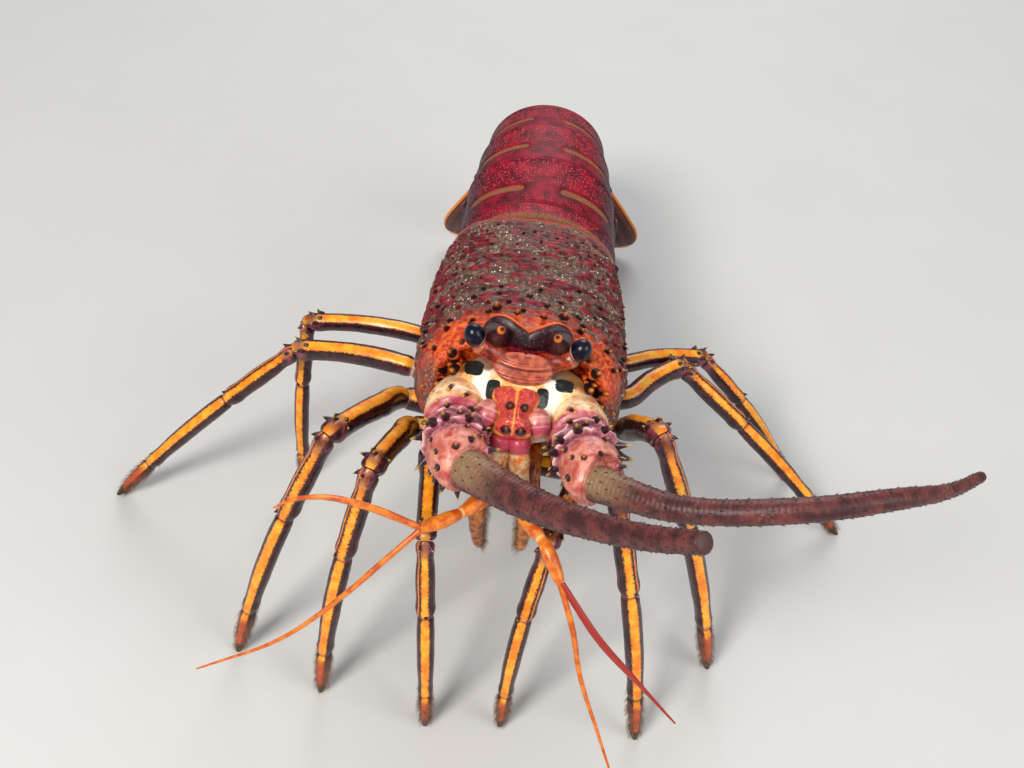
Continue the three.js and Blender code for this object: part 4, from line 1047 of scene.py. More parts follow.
SPOTS = [
    # left, height up the face, half width, half height
    (-15.0, 6.6, 2.9, 2.3),
    (13.2, 5.0, 2.9, 2.0),
    (-8.3, 0.7, 2.1, 3.1),
    (6.7, 0.2, 2.0, 3.1),
]
f = face_finish = Finish("face_cream_with_dark_spots")
mottle, fine = f.cloud(3.5, 4.0), f.cloud(0.6, 3.0)
cream = f.mottled(mottle, "f2ae48", "ffe6b0")
spotted = f.layers(
    cream,
    (f.times(f.step(f.cells(0.8)["Distance"], 0.26, 0.12), 0.6), "c0561e"),
    ("white", "fffaf0"),
    ("amber", f.blend(mottle, "b8431a", "f08c3a")),
    ("shade", f.blend(mottle, "46240e", "8a5618")),
    (("dark", 0.35, 0.6), "10150f"),
)
f.finish(
    spotted, 0.32, f.bump(f.plus(mottle, f.times(fine, 0.4)), 0.35, 0.25),
    Specular_IOR_Level=0.5, Coat_Weight=0.2, Coat_Roughness=0.2,
)
backs = np.concatenate([np.linspace(-50.3, -63.6, 70), [-63.9, -64.0]])
turn = turns(150, 0)
sizes = [(23, 14), (21, 12.5), (14, 10.5), (8, 8.5)]  # half width and half height at each station
wide, tall = smooth_table(-50.3 - backs, [0, 4.7, 9.7, 13.7], sizes).T
close = np.concatenate([np.ones(70), [0.85, 0.5]])
face_grid = np.stack([
    (wide * close)[:, None] * np.cos(turn), backs[:, None] + 0 * turn,
    mix(26, 24, (-50 - backs) / 14)[:, None] + (tall * close)[:, None] * np.sin(turn),
], axis=-1)
across, _, above = np.moveaxis(face_grid, -1, 0)
up_face = face_grid @ (0, 0.453, 0.888)  # height on the face as the camera sees it
off = np.abs(across + 0.9)
dark = np.zeros(across.shape)
for left, height, half_wide, half_tall in SPOTS:
    reach = (np.abs(across - left) / half_wide) ** 3.2 + (np.abs(up_face - height) / half_tall) ** 3.2
    dark = np.maximum(dark, (1 - ease(reach, 0.7, 1.3)) * (above > 20))
amber_mark = ease(np.abs(across), 14, 20) * 0.8 + (1 - ease(above, 12, 20)) * 0.9
shade = 0.9 * ease(up_face + 0.8 * rough(face_grid, 3.0) + 0.2 * off, 7.9, 9.1) * ease(off, 4, 6)
white = 0.85 * ease(off + rough(face_grid, 2.0), 7, 9.5) * (1 - ease(off, 12, 15))
face_rows = on_body(face_grid + 0.25 * rough(face_grid, 4.0)[..., None] * np.array([0, -0.4, 1.0]))
face_skin = Heap("dark", "amber", "shade", "white")
face_skin.tube(face_rows, dark=dark, amber=np.clip(amber_mark, 0, 1), shade=shade, white=white)
fit(face_skin, "face_shell", face_finish, "face", "face")

f = plate_finish = Finish("plate_orange_pink")
mottle = f.cloud(2.2, 4.0)
coral = f.mottled(f.cloud(1.3, 4.0, warp=1.5), "b62a3a", "da5c38", 0.4, 0.62)
tipped = f.layers(
    coral, (("line", 0.2, 0.9), "ffb043"), (("tip", 0.02, 0.1), "221426"), (("tip", 0.6, 0.9), "7a4a26"),
)
f.finish(tipped, 0.3, f.bump(mottle, 0.3, 0.2), Coat_Weight=0.25, Coat_Roughness=0.2)
BODY_UP = body_way((0, 0, 1))
plate = Heap("line", "tip")
shares = np.concatenate([np.linspace(0, 0.96, 60), [0.975, 0.99, 1.0]])
curve, way = curve_through(on_body([(-1, -60.6, 31.4), (-1, -67, 27), (-1, -72.5, 23)]), shares)
wide = smooth_table(shares, [0, 0.14, 0.3, 0.55, 0.8, 0.95, 1], [7.2, 7.3, 6.2, 4.6, 5.4, 4.9, 3.0])
tall = smooth_table(shares, [0, 0.5, 0.96, 1], [4.6, 4.0, 3.1, 1.6])
turn = turns(72)
dip = 1 - 0.16 * bell(np.cos(turn), 0, 0.12) * (np.sin(turn) > 0)
rows, turn = sweep(curve, way, BODY_UP, 72, np.repeat(wide[:, None], 72, axis=1), tall[:, None] * dip)
middle_line = bell(np.cos(turn), 0, 0.06) * (np.sin(turn) > 0) * np.ones((len(shares), 1))
rim_line = ease(np.abs(np.cos(turn)), 0.86, 0.97)[None] * 0.7
notch = (1 - ease(np.abs(np.cos(turn))[None] + shares[:, None] * 2.6, 0.12, 0.42)) * (np.sin(turn) > 0)
plate.tube(rows, line=np.maximum(np.maximum(middle_line, rim_line), notch))
PLATE_SPINES = [
    # left, back, above; length; half width
    [(-2.6, -68.4, 31.0), 2.0, 1.3], [(1.7, -68.4, 31.0), 2.0, 1.3],
    [(-2.9, -73.3, 25.9), 2.6, 1.7], [(1.4, -73.3, 25.9), 2.6, 1.7],
]
for place, length, radius in PLATE_SPINES:
    plate.spine(on_body(place), body_way((0, -0.86, 0.48)), length, radius, sides=14)
fit(plate, "small_feeler_plate", plate_finish, "plate", "antennule_plate")

f = brow_finish = Finish("ribbed_brow_pink")
pinkish = f.mottled(f.cloud(2.0), "943a28", "c8664a")
f.finish(f.blend(f.mark("groove"), pinkish, "48120c"), 0.38, Coat_Weight=0.12, Coat_Roughness=0.2)
down = np.linspace(-1, 1, 110)
turn = turns(90, 0)
flat = np.sqrt(np.maximum(1 - down**2, 0.0004))
half = 9.4 * np.abs(flat) ** 0.7 * np.where(down < 0, 1.0, 1 - 0.3 * down)
upper_rib, lower_rib = (down + 1) / 0.7, (down + 0.3) / 1.3
rib = 1.5 * np.abs(np.sin(np.pi * np.where(down < -0.3, upper_rib, lower_rib))) ** 0.8
rib = rib - 0.15 * np.cos(down * 34)
brow_grid = np.stack([
    -0.1 + half[:, None] * np.cos(turn), -57.6 + (2.2 * flat + rib * flat)[:, None] * np.sin(turn),
    37.4 - 5.6 * down[:, None] + 0.9 * np.cos(turn)[None] ** 2,
], axis=-1)
brow = Heap("groove")
fold = bell(down, -0.3, 0.05) + ease(down, 0.6, 0.9)
brow.tube(on_body(brow_grid), groove=np.clip(fold, 0, 1)[:, None] * 0.9)
fit(brow, "brow_plate", brow_finish, "plate")


# The two horns over the eyes, and the arched bar between their roots.
# They are solid dark shell, grown in one piece with the back shell: broad at the root, and each horn
# with a bright ring near its tip.

f = horn_finish = Finish("horn_maroon_with_orange_tip")
mottle = f.cloud(2.5, 4.0)
maroon = f.mottled(mottle, "16060c", "42101c")
specks = f.times(f.times(f.step(f.cells(0.9)["Distance"], 0.3, 0.15), 0.45), f.mark("edge", 0.3, 0.0))
low = f.layers(maroon, ("edge", "f0641c"), ("red", f.blend(mottle, "8c0a24", "b8122e")), (specks, "9a7078"))
band = f.times(f.mark("tip", 0.88, 0.91), f.mark("tip", 0.965, 0.94))
f.finish(
    f.blend(band, low, "f07820"), 0.42, f.bump(f.cloud(0.8), 0.3, 0.25),
    Specular_IOR_Level=0.4, Coat_Weight=0.05, Coat_Roughness=0.2,
)
shares = np.concatenate([np.linspace(0, 0.97, 70), [0.98, 0.99, 1.0]])
HORN = np.array([
    # share of the length, half width, half height
    [0, 2.5, 2.6], [0.06, 4.0, 4.2], [0.2, 4.7, 5.1], [0.4, 4.5, 4.8], [0.6, 3.4, 3.6], [0.8, 2.0, 2.0],
    [0.92, 1.0, 1.0], [1, 0.1, 0.1],
])
wide, tall = smooth_table(shares, HORN[:, 0], HORN[:, 1:]).T
for tag, sign in SIDES:
    horn = Heap("tip", "edge", "red")
    path = [(9, -41, 41), (9.4, -50, 44.8), (9.2, -58.2, 49.2), (8, -65, 54)]
    curve, way = curve_through(on_body(np.array(path) * (sign, 1, 1)), shares)
    rows, turn = sweep(curve, way, BODY_UP, 56, wide, tall)
    outline = bell(turn, np.pi / 2 - sign * 0.75, 0.13)[None] * (1 - ease(shares, 0.5, 0.66))[:, None]
    collar = bell(shares, 0.16, 0.03)[:, None] * (np.sin(turn) > 0.2)[None] * 0.7
    horn.tube(rows, tip=shares[:, None], edge=np.clip(outline + collar, 0, 1))
    fit(horn, f"horn_{tag}_shell", horn_finish, "horn", f"horn_{tag}")
bar = Heap("tip", "edge", "red")
shares = np.linspace(0, 1, 100)
BAR = [(-13.5, -48.5, 43.2), (-8, -51, 47.2), (-4, -52.6, 46.6)]
bar_path = on_body(BAR + [(0, -53.2, 45.6)] + [(-left, back, above) for left, back, above in BAR[::-1]])
curve, way = curve_through(bar_path, shares)
off = np.abs(2 * shares - 1)
bar_tall = smooth_table(off, [0, 0.3, 0.56, 0.75, 1], [3.5, 4.7, 5.3, 4.2, 1.8])
rows, turn = sweep(curve, way, BODY_UP, 72, 2.2 - 0.9 * off**4, bar_tall)
bar_red = ease(-np.sin(turn), 0.5, 0.72)[None] * (1 - ease(off, 0.6, 0.85))[:, None]
bar_edge = bell(np.sin(turn), 0.985, 0.03)[None] * (1 - ease(off, 0.5, 0.9))[:, None]
bar.tube(rows, red=bar_red, edge=bar_edge)
fit(bar, "horn_bar", horn_finish, "horn")


# The eyes: dark glossy domes with a pale rim, on short bent stalks.
# The stalks are jointed at the middle of the brow.

f = stalk_finish = Finish("eyestalk_orange_red")
mottle = f.cloud(2.0, 4.0)
ember = f.mottled(mottle, "54140e", "b43c18")
freckle = f.times(f.step(f.cells(1.1)["Distance"], 0.3, 0.18), 0.7)
freckled = f.blend(freckle, ember, "5a1210")
f.finish(f.blend(f.mark("cup"), freckled, "e8a070"), 0.34, f.bump(mottle, 0.3, 0.2), Coat_Weight=0.1)
f = eye_finish = Finish("eye_navy_gloss")
facets = f.cells(0.16)
navy = f.layers(f.blend(f.cloud(2.5), "04030b", "110c28"), ("rim", "efc9a8"), ("low", "b04a20"))
f.finish(
    navy, 0.28, f.bump(facets["Distance"], 0.12, 0.05),
    Specular_IOR_Level=0.3, Coat_Weight=0.14, Coat_Roughness=0.06,
)
EYE_REACH, EYE_RADIUS = 3.9, 3.25  # half its length along the stalk, and half its width
for tag, sign in SIDES:
    stalk = Heap("cup")
    shares = np.linspace(0, 1, 60)
    path = [(4, -53, 39.2), (10.8, -55.8, 42.0), (14.6, -57.3, 44.4)]
    curve, way = curve_through(on_body(np.array(path) * (sign, 1, 1)), shares)
    radius = smooth_table(shares, [0, 0.5, 0.75, 0.92, 1], [2.9, 3.4, 3.0, 2.9, 2.6])
    rows, _ = sweep(curve, way, UP, 48, radius)
    stalk.tube(rows, cup=0.3 * ease(shares, 0.92, 0.98)[:, None])
    fit(stalk, f"eyestalk_{tag}_skin", stalk_finish, "stalk", f"eyestalk_{tag}")

    eye_axis = unit(on_body((sign * 16.2, -58.5, 48)) - on_body((sign * 14, -57, 43)))
    centre = on_body((sign * 16, -58, 47.5))
    tilt = np.linspace(0.06, math.pi - 0.06, 48)
    middle = centre - EYE_REACH * np.cos(tilt)[:, None] * eye_axis
    rows, _ = sweep(middle, np.tile(eye_axis, (48, 1)), body_way((0, -1, 0)), 64, EYE_RADIUS * np.sin(tilt))
    eye = Heap("tip", "rim", "low")
    lens_way = unit(0.6 * eye_axis + 0.7 * body_way((sign, -0.3, 0)))
    depth = (rows - centre) @ lens_way
    eye.tube(rows, rim=bell(depth, -2.25, 0.22), low=1 - ease(depth, -2.7, -2.4))
    fit(eye, f"eye_{tag}_dome", eye_finish, "eye", f"eye_{tag}")


# The long feelers: two thick spiny joints on each side, on a smooth domed root, and a ringed whip.
# Both whips are broken off short, as on an animal that has lost them to its neighbours.

f = root_finish = Finish("feeler_root_cream_orange")
mottle, fine = f.cloud(3.0, 4.0), f.cloud(0.7, 3.0)
rosy = f.mottled(mottle, "a52c44", "d97c80", 0.35, 0.7)
spiny = f.layers(
    f.mottled(mottle, "d98a52", "f6d6a2"), ("rose", rosy), ("deep", "b8345c"),
    (f.times(f.mark("stripe"), 0.45), "efc4c0"), ("pale", "fff4e4"),
    (("tip", 0.04, 0.14), "2a0d14"), (("tip", 0.55, 0.85), "e8a03a"),
)
f.finish(
    spiny, 0.34, f.bump(f.plus(mottle, f.times(fine, 0.5)), 0.4, 0.25), Coat_Weight=0.2, Coat_Roughness=0.2,
)
f = arm_finish = Finish("feeler_arm_rose")
mottle, fine = f.cloud(3.2, 5.0, warp=0.6), f.cloud(0.8, 4.0)
# Painted glints: pale flecks over the rose that stand in for small highlights.
painted_glints = f.times(f.step(f.cloud(1.4, 5.0, warp=2.5), 0.6, 0.68), 0.55)
spiny = f.layers(
    f.mottled(mottle, "7c1a30", "cf7684", 0.3, 0.7), (painted_glints, "f0cdc8"),
    # rim: the flared rims' own pale edge, with painted highlight along them
    ("smooth", f.mottled(mottle, "b5463c", "e89a82", 0.3, 0.7)), ("crease", "4c0e18"), ("rim", "f6d3c8"),
    (("tip", 0.03, 0.14), "30121c"), (("tip", 0.62, 0.9), "b8903a"),
)
dusty, silt, _ = silt_over(f, 0.2, spiny, 0.6)
f.finish(
    dusty, f.step(silt, 0, 1, 0.33, 0.7), f.bump(f.plus(mottle, f.times(fine, 0.6)), 0.6, 0.4),
    Specular_IOR_Level=0.5, Coat_Weight=0.15, Coat_Roughness=0.25,
)
f = whip_finish = Finish("feeler_whip_dusty_maroon")
mottle = f.cloud(5.0, 5.0)
broken = f.layers(
    f.mottled(mottle, "401c1e", "6e3430"), ("sandy", f.blend(f.cloud(0.9), "5c4030", "b08c66")),
    # low: painted shade, darker on the whip's underside
    (("low", 0.1, 0.8), "2a1014"), (f.times(f.mark("ring"), 0.22), "2c0f0e"),
    (("tip", 0.1, 0.5), "301410"), ("broken", "4a2a26"),
)
dusty, silt, grain = silt_over(f, f.minus(0.3, f.times(f.mark("low"), 0.1)), broken, 0.5)
f.finish(dusty, f.step(silt, 0, 1, 0.42, 0.85), f.bump(grain, 0.4, 0.25), Specular_IOR_Level=0.4)
FEELERS = {
    "r": {
        "root": [(-17, -50, 22), (-18, -58, 22), (-18, -66, 20.5)],
        "arm": [(-15, -80, 119.5), (-11, -89, 121.6)],
        "whip": [(-11, -89, 121.6), (7, -105, 128), (26, -121, 139), (39, -133, 151), (48, -142, 162)],
        "thick": [6.2, 5, 3.8, 3.3, 2.9],
        "bulb": (-9.2, -66.5, 26.4),
    },
    "l": {
        "root": [(17, -50, 22), (18.5, -58, 22), (20, -66, 21.5)],
        "arm": [(24, -80, 119), (26, -90, 121)],
        "whip": [
            (26, -90, 121), (48, -104, 129), (79, -109, 138), (107, -102, 138), (124, -93, 133),
            (136, -83, 129),
        ],
        "thick": [5.4, 3.9, 3.6, 3, 2.1, 1.6],
        "bulb": (6.6, -66.5, 25.8),
    },
}
ROOT_SPINES = [
    # left, back, above; length; half width
    [(25, -58, 26.5), 4, 1.7], [(20.5, -61, 30), 4, 1.7], [(26.5, -62.5, 21), 3, 1.4],
    [(23.5, -64, 27), 3.2, 1.4], [(16, -64, 30), 2.6, 1.2],
]
ARM = np.array([
    # share of the length, half thickness
    [0, 8.0], [0.05, 8.8], [0.14, 9.4], [0.19, 9.9], [0.205, 9.6], [0.225, 8.5], [0.26, 8.7], [0.36, 9.4],
    [0.43, 10.0], [0.455, 9.6], [0.475, 7.7], [0.5, 8.2], [0.7, 9.0], [0.86, 8.8], [0.93, 8.3], [0.97, 7.3],
    [1.0, 6.5],
])
ARM_SPINES = [
    # share of the length, spines in the ring, length, half width
    (0.16, 7, 3.6, 1.4), (0.3, 5, 3.0, 1.2), (0.42, 10, 4.4, 1.6), (0.6, 5, 3.0, 1.2), (0.78, 4, 2.4, 1.0),
    (0.9, 8, 3.0, 1.15),
]
ROOT_SIDES, ARM_SIDES, WHIP_SIDES = 96, 120, 44
ROW_STEP, RING_STEP, HAIR_STEP = 0.3, 1.5, 3.0  # along a whip


def round_curve(curve, sides):
    """Places about 9 mm round a curve, for chance heights on a thick joint."""
    turn = turns(sides)
    hoop = np.stack([np.cos(turn), 0 * turn, np.sin(turn)], axis=1)
    return np.repeat(curve[:, None], sides, axis=1) + 9 * hoop


for tag, sign in SIDES:
    feeler = FEELERS[tag]
    root_path, arm = on_body(feeler["root"]), np.array(feeler["arm"], float)
    shares = np.linspace(0, 1, 70)
    curve, way = curve_through(root_path, shares)
    way = steer(way, unit(arm[0] - root_path[2]), ease(shares, 0.8, 1))
    radius = smooth_table(shares, [0, 0.3, 0.6, 0.85, 0.95, 1], [9.0, 9.6, 10.0, 9.7, 9.3, 8.2])
    fold = 1 + 0.02 * rough(round_curve(curve, ROOT_SIDES), 5.0)
    rows, turn = sweep(curve, way, BODY_UP, ROOT_SIDES, radius[:, None] * fold)
    rose = np.clip(ease(shares, 0.74, 0.96)[:, None] + (1 - ease(np.sin(turn), -0.5, 0.1))[None], 0, 1)
    base = Heap("tip", "rose", "stripe", "pale", "deep")
    arc = bell(shares, 0.3, 0.016) + 0.7 * bell(shares, 0.62, 0.014)
    base.tube(rows, rose=rose, pale=arc[:, None] * ease(np.sin(turn), 0.2, 0.5)[None])
    for (left, back, above), reach, size in ROOT_SPINES:
        foot, way = on_body((sign * left, back, above)), body_way((sign * 0.45, -0.8, 0.35))
        base.spine(foot, way, reach, size, sides=12, rose=0.8)
    tilt = np.linspace(0.08, math.pi - 0.08, 40)
    axis = body_way((sign * 0.25, -0.55, -0.8))
    middle = on_body(feeler["bulb"]) - 4.7 * np.cos(tilt)[:, None] * axis
    rows, _ = sweep(middle, np.tile(axis, (40, 1)), BODY_UP, 48, 3.9 * np.sin(tilt), 3.4 * np.sin(tilt))
    stripes = ease(np.cos(tilt * 9.5 + 0.5), 0.8, 0.95) * (np.abs(np.cos(tilt)) < 0.85)
    deep = 0.8 * ease(tilt, 1.5, 1.8) * (1 - ease(tilt, 2.3, 2.7))
    base.tube(rows, rose=0.75, stripe=stripes[:, None], deep=deep[:, None])
    fit(base, f"feeler_root_{tag}", root_finish, "feeler_base", f"antenna_base_{tag}")

    shares = np.linspace(0, 1, 150)
    curve, way = curve_through([root_path[2], mix(root_path[2], arm[0], 0.35), arm[0], arm[1]], shares)
    way = steer(way, unit(np.array(feeler["whip"][1], float) - arm[1]), ease(shares, 0.85, 1))
    radius = smooth_table(shares, ARM[:, 0], ARM[:, 1])
    around = round_curve(curve, ARM_SIDES)
    flared = bell(shares, 0.44, 0.04) + bell(shares, 0.19, 0.03)
    lobes = 0.35 * rough(around, 6.0, 3) + 0.9 * rough(around, 2.6, 3) * flared[:, None]
    rows, _ = sweep(curve, way, UP, ARM_SIDES, radius[:, None] + lobes)
    # rim marks the flared rims: partly their own pale edge, partly painted highlight
    rim = bell(shares, 0.448, 0.008) + 0.8 * bell(shares, 0.195, 0.007)
    crease = bell(shares, 0.478, 0.012) + 0.8 * bell(shares, 0.22, 0.01) + 0.5 * bell(shares, 0.99, 0.01)
    upper_arm = Heap("tip", "rim", "crease", "smooth")
    upper_arm.tube(
        rows, rim=np.clip(rim, 0, 1)[:, None] * ease(rough(around, 5.0, 2), -0.3, 0.1),
        crease=np.clip(crease, 0, 1)[:, None], smooth=ease(shares, 0.5, 0.75)[:, None],
    )
    across, over = frames(way, UP)
    for share, count, reach, size in ARM_SPINES:
        for k in range(count):
            angle = 2 * math.pi * (k + 0.5 * draw.random() + 0.25 * (share > 0.5)) / count
            at = int((len(shares) - 1) * (share + draw.normal(0, 0.012)))
            lean = lean_at(across[at], over[at], np.array(angle))
            scale = draw.uniform(0.7, 1.15)
            upper_arm.spine(
                curve[at] + lean * radius[at] * 0.96, lean + 0.85 * way[at], reach * scale, size * scale,
                sides=10, bend=0.15 * lean,
            )
    fit(upper_arm, f"feeler_arm_{tag}", arm_finish, "feeler_base", f"antenna_arm_{tag}")

    whip_path = np.array(feeler["whip"], float)
    reach = np.concatenate([[0], np.cumsum(np.linalg.norm(np.diff(whip_path, axis=0), axis=1))])
    long = reach[-1]
    count = int(long / ROW_STEP)
    shares = np.concatenate([np.linspace(0, 0.995, count), [0.998, 1.0]])
    curve, way = curve_through(whip_path, shares)
    radius = smooth_table(shares, reach / long, feeler["thick"])
    radius = radius * np.concatenate([np.ones(count), [0.93, 0.8]])
    ring = bell((shares * long) % RING_STEP, RING_STEP / 2, 0.22)
    thick = (radius - 0.1 * ring)[:, None] + 0.12 * grain_on(curve, WHIP_SIDES, 2, 5.0)
    rows, turn = sweep(curve, way, UP, WHIP_SIDES, thick)
    # The mark low is painted shade on the whip's underside; it also takes a little less sediment.
    whip = Heap("tip", "low", "ring", "broken", "sandy")
    whip.tube(
        rows, low=np.clip(-np.sin(turn), 0, 1)[None], ring=ring[:, None],
        broken=(shares > 0.9965)[:, None] * 1.0,
        sandy=(1 - ease(shares * long, 2, 19))[:, None] * ease(np.sin(turn), -0.5, 0.5)[None],
    )
    across, over = frames(way, UP)
    for j in range(int(long / HAIR_STEP)):
        for k in range(9):
            angle = 2 * math.pi * (k + 0.5 * (j % 2)) / 9 + draw.normal(0, 0.06)
            at = int(count * (HAIR_STEP * (j + 0.5) + draw.normal(0, 0.2)) / long)
            lean = lean_at(across[at], over[at], np.array(angle))
            whip.spine(curve[at] + lean * (radius[at] - 0.1), lean * 0.55 + way[at], 0.9, 0.26, sides=5)
    fit(whip, f"feeler_whip_{tag}", whip_finish, "feeler", f"antenna_near_{tag}", f"antenna_far_{tag}")


# The small forked feelers: a slim jointed stem and two ringed branches on each side.
# They smell and feel what is near, and carry a thin brush of hair.

ANTENNULES = {
    "r": {
        "stem": [on_body((-3.4, -69.5, 21.5)), (-6, -78, 97.5), (-17, -89, 98), (-24, -93, 98)],
        "outer": [(-23.6, -92.8, 98.4), (-41, -93, 107), (-50, -92, 108), (-63, -91, 104), (-68, -90, 99)],
        "inner": [(-23.8, -92.8, 97.4), (-32, -98, 91), (-46, -105, 78), (-65, -108, 58), (-94, -109, 38)],
    },
    "l": {
        "stem": [on_body((1.4, -69.5, 21.5)), (7, -83, 96.5), (14, -94, 95), (19, -102, 88.5)],
        "outer": [(19.2, -101.8, 88.8), (32, -110, 73), (46, -114, 57), (59, -119, 44)],
        "inner": [(18.6, -101.6, 89), (24, -110, 76), (27, -116, 64), (35, -126, 45), (41, -134, 32)],
    },
}
f = thread_finish = Finish("small_feeler_orange")
mottle = f.cloud(3.0, 4.0)
jointed = f.layers(
    f.mottled(mottle, "c4500f", "f08a24"), ("red", "a02418"),
    ("cream", f.mottled(mottle, "e0742c", "f4d9a0", 0.4, 0.6)), ("rose", "b03a4c"), ("joint", "ffd08a"),
)
f.finish(jointed, 0.35, f.bump(mottle, 0.3, 0.2), Coat_Weight=0.08)
STEM = np.array([
    # share of the length, half thickness
    [0, 3.2], [0.04, 3.7], [0.09, 3.0], [0.12, 3.3], [0.2, 3.0], [0.33, 2.7], [0.36, 2.0], [0.4, 2.4],
    [0.65, 2.1], [0.7, 1.6], [0.74, 1.9], [0.95, 1.8], [1, 1.3],
])
BRANCHES = {
    # half width and half height at five even places
    "outer": [(1, 1), (1, 1.4), (0.9, 1.3), (0.6, 0.8), (0.3, 0.3)],
    "inner": [(0.95, 0.95), (0.9, 0.9), (0.75, 0.75), (0.55, 0.55), (0.3, 0.3)],
}
STEM_HAIRS, BRANCH_HAIRS = 420, 260
thread_hair = Coat()
for number, (tag, sign) in enumerate(SIDES):
    feeler = ANTENNULES[tag]
    stem = Heap("joint", "red", "cream", "rose")
    shares = np.linspace(0, 1, 110)
    curve, way = curve_through(feeler["stem"], shares)
    radius = smooth_table(shares, STEM[:, 0], STEM[:, 1])
    rows, _ = sweep(curve, way, UP, 32, radius)
    joints = bell(shares, 0.36, 0.008) + bell(shares, 0.7, 0.008)
    cream, rose = 1 - ease(shares, 0.22, 0.34), 1 - ease(shares, 0.08, 0.1)
    stem.tube(rows, joint=joints[:, None], cream=cream[:, None], rose=rose[:, None])
    at = draw.integers(8, 108, STEM_HAIRS)
    angle = 2 * np.pi * draw.random(STEM_HAIRS)
    thread_hair.brush(
        (curve, way, UP, radius * 0.95), at, angle, 0.9, draw.uniform(0.8, 1.8, STEM_HAIRS), 0.035, 0.2,
        ((0.02 + number * 0.3 + angle / 40) * 0.97, shares[at] * 0.97),
    )
    fit(stem, f"small_feeler_stem_{tag}", thread_finish, "small_feeler", f"antennule_stem_{tag}")
    for branch, sizes in BRANCHES.items():
        shares = np.linspace(0, 1, 180)
        curve, way = curve_through(feeler[branch], shares)
        wide, tall = smooth_table(shares, np.linspace(0, 1, 5), sizes).T
        ring = 1 - 0.06 * (np.sin(shares * 2 * np.pi * 60) > 0.6)
        rows, _ = sweep(curve, way, UP, 20, wide * ring, tall * ring)
        twig = Heap("joint", "red")
        twig.tube(rows, red=1.0 if (tag, branch) == ("l", "outer") else 0.15)
        at = draw.integers(6, 174, BRANCH_HAIRS)
        angle = draw.normal(-1.57, 0.6, BRANCH_HAIRS)
        patch = 0.2 + number * 0.3 + 0.1 * (branch == "inner") + 0.02 * np.cos(angle)
        thread_hair.brush(
            (curve, way, UP, wide * 0.9), at, angle, 1.2, draw.uniform(0.6, 1.2, BRANCH_HAIRS), 0.03, 0.1,
            (patch * 0.97, shares[at] * 0.97),
        )
        node = f"antennule_{branch}_{tag}"
        fit(twig, f"small_feeler_{branch}_{tag}", thread_finish, "small_feeler", node)
f = thread_hair_finish = Finish("small_feeler_hair")
f.finish(f.blend(f.mark("tip"), "b8641e", "e8b066"), 0.5)
fit(thread_hair, "small_feeler_hairs", thread_hair_finish, "small_feeler")


# The mouth's outer feet: two jointed feet folded down under the face.
# Their inner sides are set with bristles that comb the food.

f = mouth_finish = Finish("mouth_foot_orange")
mottle = f.cloud(3.0, 4.0)
f.finish(
    f.blend(f.mark("joint"), f.mottled(mottle, "7a2a10", "d9822e"), "4a1a10"),
    0.35, f.bump(mottle, 0.4, 0.3), Coat_Weight=0.2,
)
MOUTH_FOOT = np.array([
    # share of the length, half width, half depth
    [0, 3.4, 4], [0.3, 3.2, 4], [0.45, 3.1, 3.9], [0.48, 2.5, 3.1], [0.52, 2.9, 3.6], [0.7, 2.5, 3.1],
    [0.78, 2.2, 2.8], [0.8, 1.8, 2.2], [0.83, 2, 2.5], [0.97, 1.1, 1.3], [1, 0.5, 0.6],
])
MOUTH_HAIRS = 700  # on each foot
BACK = np.array([0, 1.0, 0])
mouth_hair = Coat()
for number, (tag, sign) in enumerate(SIDES):
    path = [
        on_body((sign * 6, -45, 8)), on_body((sign * 7, -54, 5)), (sign * 8, -70, 78), (sign * 7, -68, 60),
    ]
    shares = np.linspace(0, 1, 110)
    curve, way = curve_through(path, shares)
    wide, deep = smooth_table(shares, MOUTH_FOOT[:, 0], MOUTH_FOOT[:, 1:]).T
    rows, _ = sweep(curve, way, BACK, 40, wide, deep)
    joints = bell(shares, 0.48, 0.012) + bell(shares, 0.8, 0.012)
    foot = Heap("joint")
    foot.tube(rows, joint=joints[:, None])
    at = draw.integers(40, 108, MOUTH_HAIRS)
    angle = draw.normal(math.pi if sign > 0 else 0.0, 0.7, MOUTH_HAIRS)
    mouth_hair.brush(
        (curve, way, BACK, wide * 0.95), at, angle, 0.8, draw.uniform(1.2, 3.0, MOUTH_HAIRS), 0.045, 0.3,
        ((0.1 + 0.4 * number + 0.05 * np.sin(angle)) * 0.97, shares[at] * 0.97),
    )
    fit(foot, f"mouth_foot_{tag}_shell", mouth_finish, "small_feeler", f"mouth_foot_{tag}")
fit(mouth_hair, "mouth_foot_hairs", bristle_finish, "small_feeler")


# The stage: a plain pale floor, soft studio light, and the camera at the photograph's angle.
# The camera looks down on the animal from the front, at about 50 degrees.

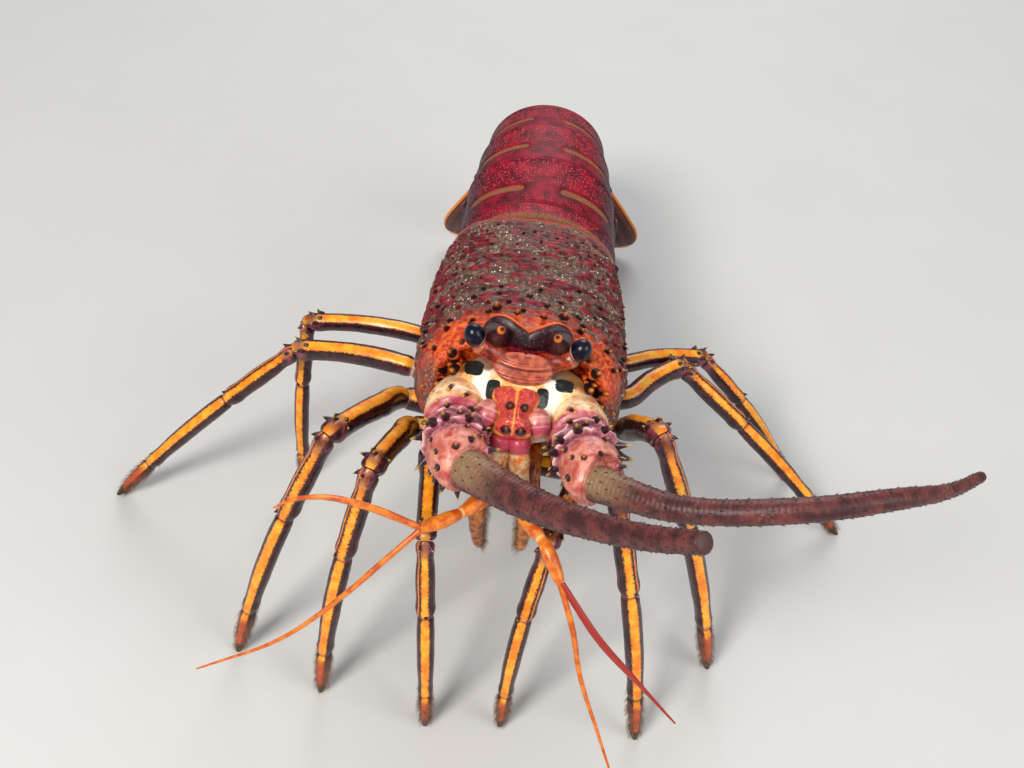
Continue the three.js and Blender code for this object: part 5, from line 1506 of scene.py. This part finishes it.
floor_mesh = bpy.data.meshes.new("floor")
FLOOR = 4.0  # metres from the middle to each side
corners = [(x * FLOOR, y * FLOOR, 0) for x, y in ((-1, -1), (1, -1), (1, 1), (-1, 1))]
floor_mesh.from_pydata(corners, [], [(0, 1, 2, 3)])
floor = to_scene("floor", floor_mesh)
f = floor_finish = Finish("pale_floor")
f.finish(f.blend(f.cloud(60.0), (0.60, 0.59, 0.57, 1), (0.64, 0.63, 0.61, 1)), 0.75)
floor_mesh.materials.append(floor_finish.material)


def stand(name, data, side, upward, toward, place):
    """Puts a camera or a lamp in its place, with its own three ways."""
    item = to_scene(name, data)
    item.matrix_world = Matrix([
        [*values, at] for *values, at in zip(side, upward, toward, place)
    ] + [[0, 0, 0, 1]])
    return item


camera_data = bpy.data.cameras.new("camera")
SENSOR, LENS = 36.0, 44.30  # millimetres, from the photograph's solved camera
CAMERA_PLACE = (np.array([0.0, -329.1, 392.3]) + SHIFT) * MM
camera_data.sensor_width, camera_data.lens, camera_data.clip_start = SENSOR, LENS, 0.01
right = unit((0.9970, 0.0540, 0.0552))
view_up = unit((-0.0772, 0.6976, 0.7123))
toward = np.cross(right, view_up)
bpy.context.scene.camera = stand("camera", camera_data, right, view_up, toward, CAMERA_PLACE)

LIT_PLACE = np.array([0.0, -0.02, 0.06])
LIGHTS = [
    # name, place in metres, size, watts, colour
    ["key", (-0.45, -0.75, 0.95), 0.35, 13.0, (1.0, 0.97, 0.93)],
    ["fill", (0.85, -0.55, 0.7), 0.7, 5.4, (0.95, 0.97, 1.0)],
    ["back", (0.1, 0.9, 0.8), 0.6, 5.5, (0.97, 0.98, 1.0)],
]
for name, place, size, watts, colour in LIGHTS:
    light = bpy.data.lights.new(name, "AREA")
    light.energy, light.size, light.color = watts, size, colour
    aim = unit(LIT_PLACE - place)
    lamp_side = unit(np.cross(aim, (0, 0, 1)))
    stand(name, light, lamp_side, np.cross(lamp_side, aim), -aim, place)
world = bpy.data.worlds.new("studio")
world.use_nodes = True
sky = world.node_tree.nodes["Background"].inputs
sky["Color"].default_value = (0.82, 0.86, 0.9, 1)
sky["Strength"].default_value = 0.35
bpy.context.scene.world = world
bpy.context.scene.view_settings.view_transform = "Standard"
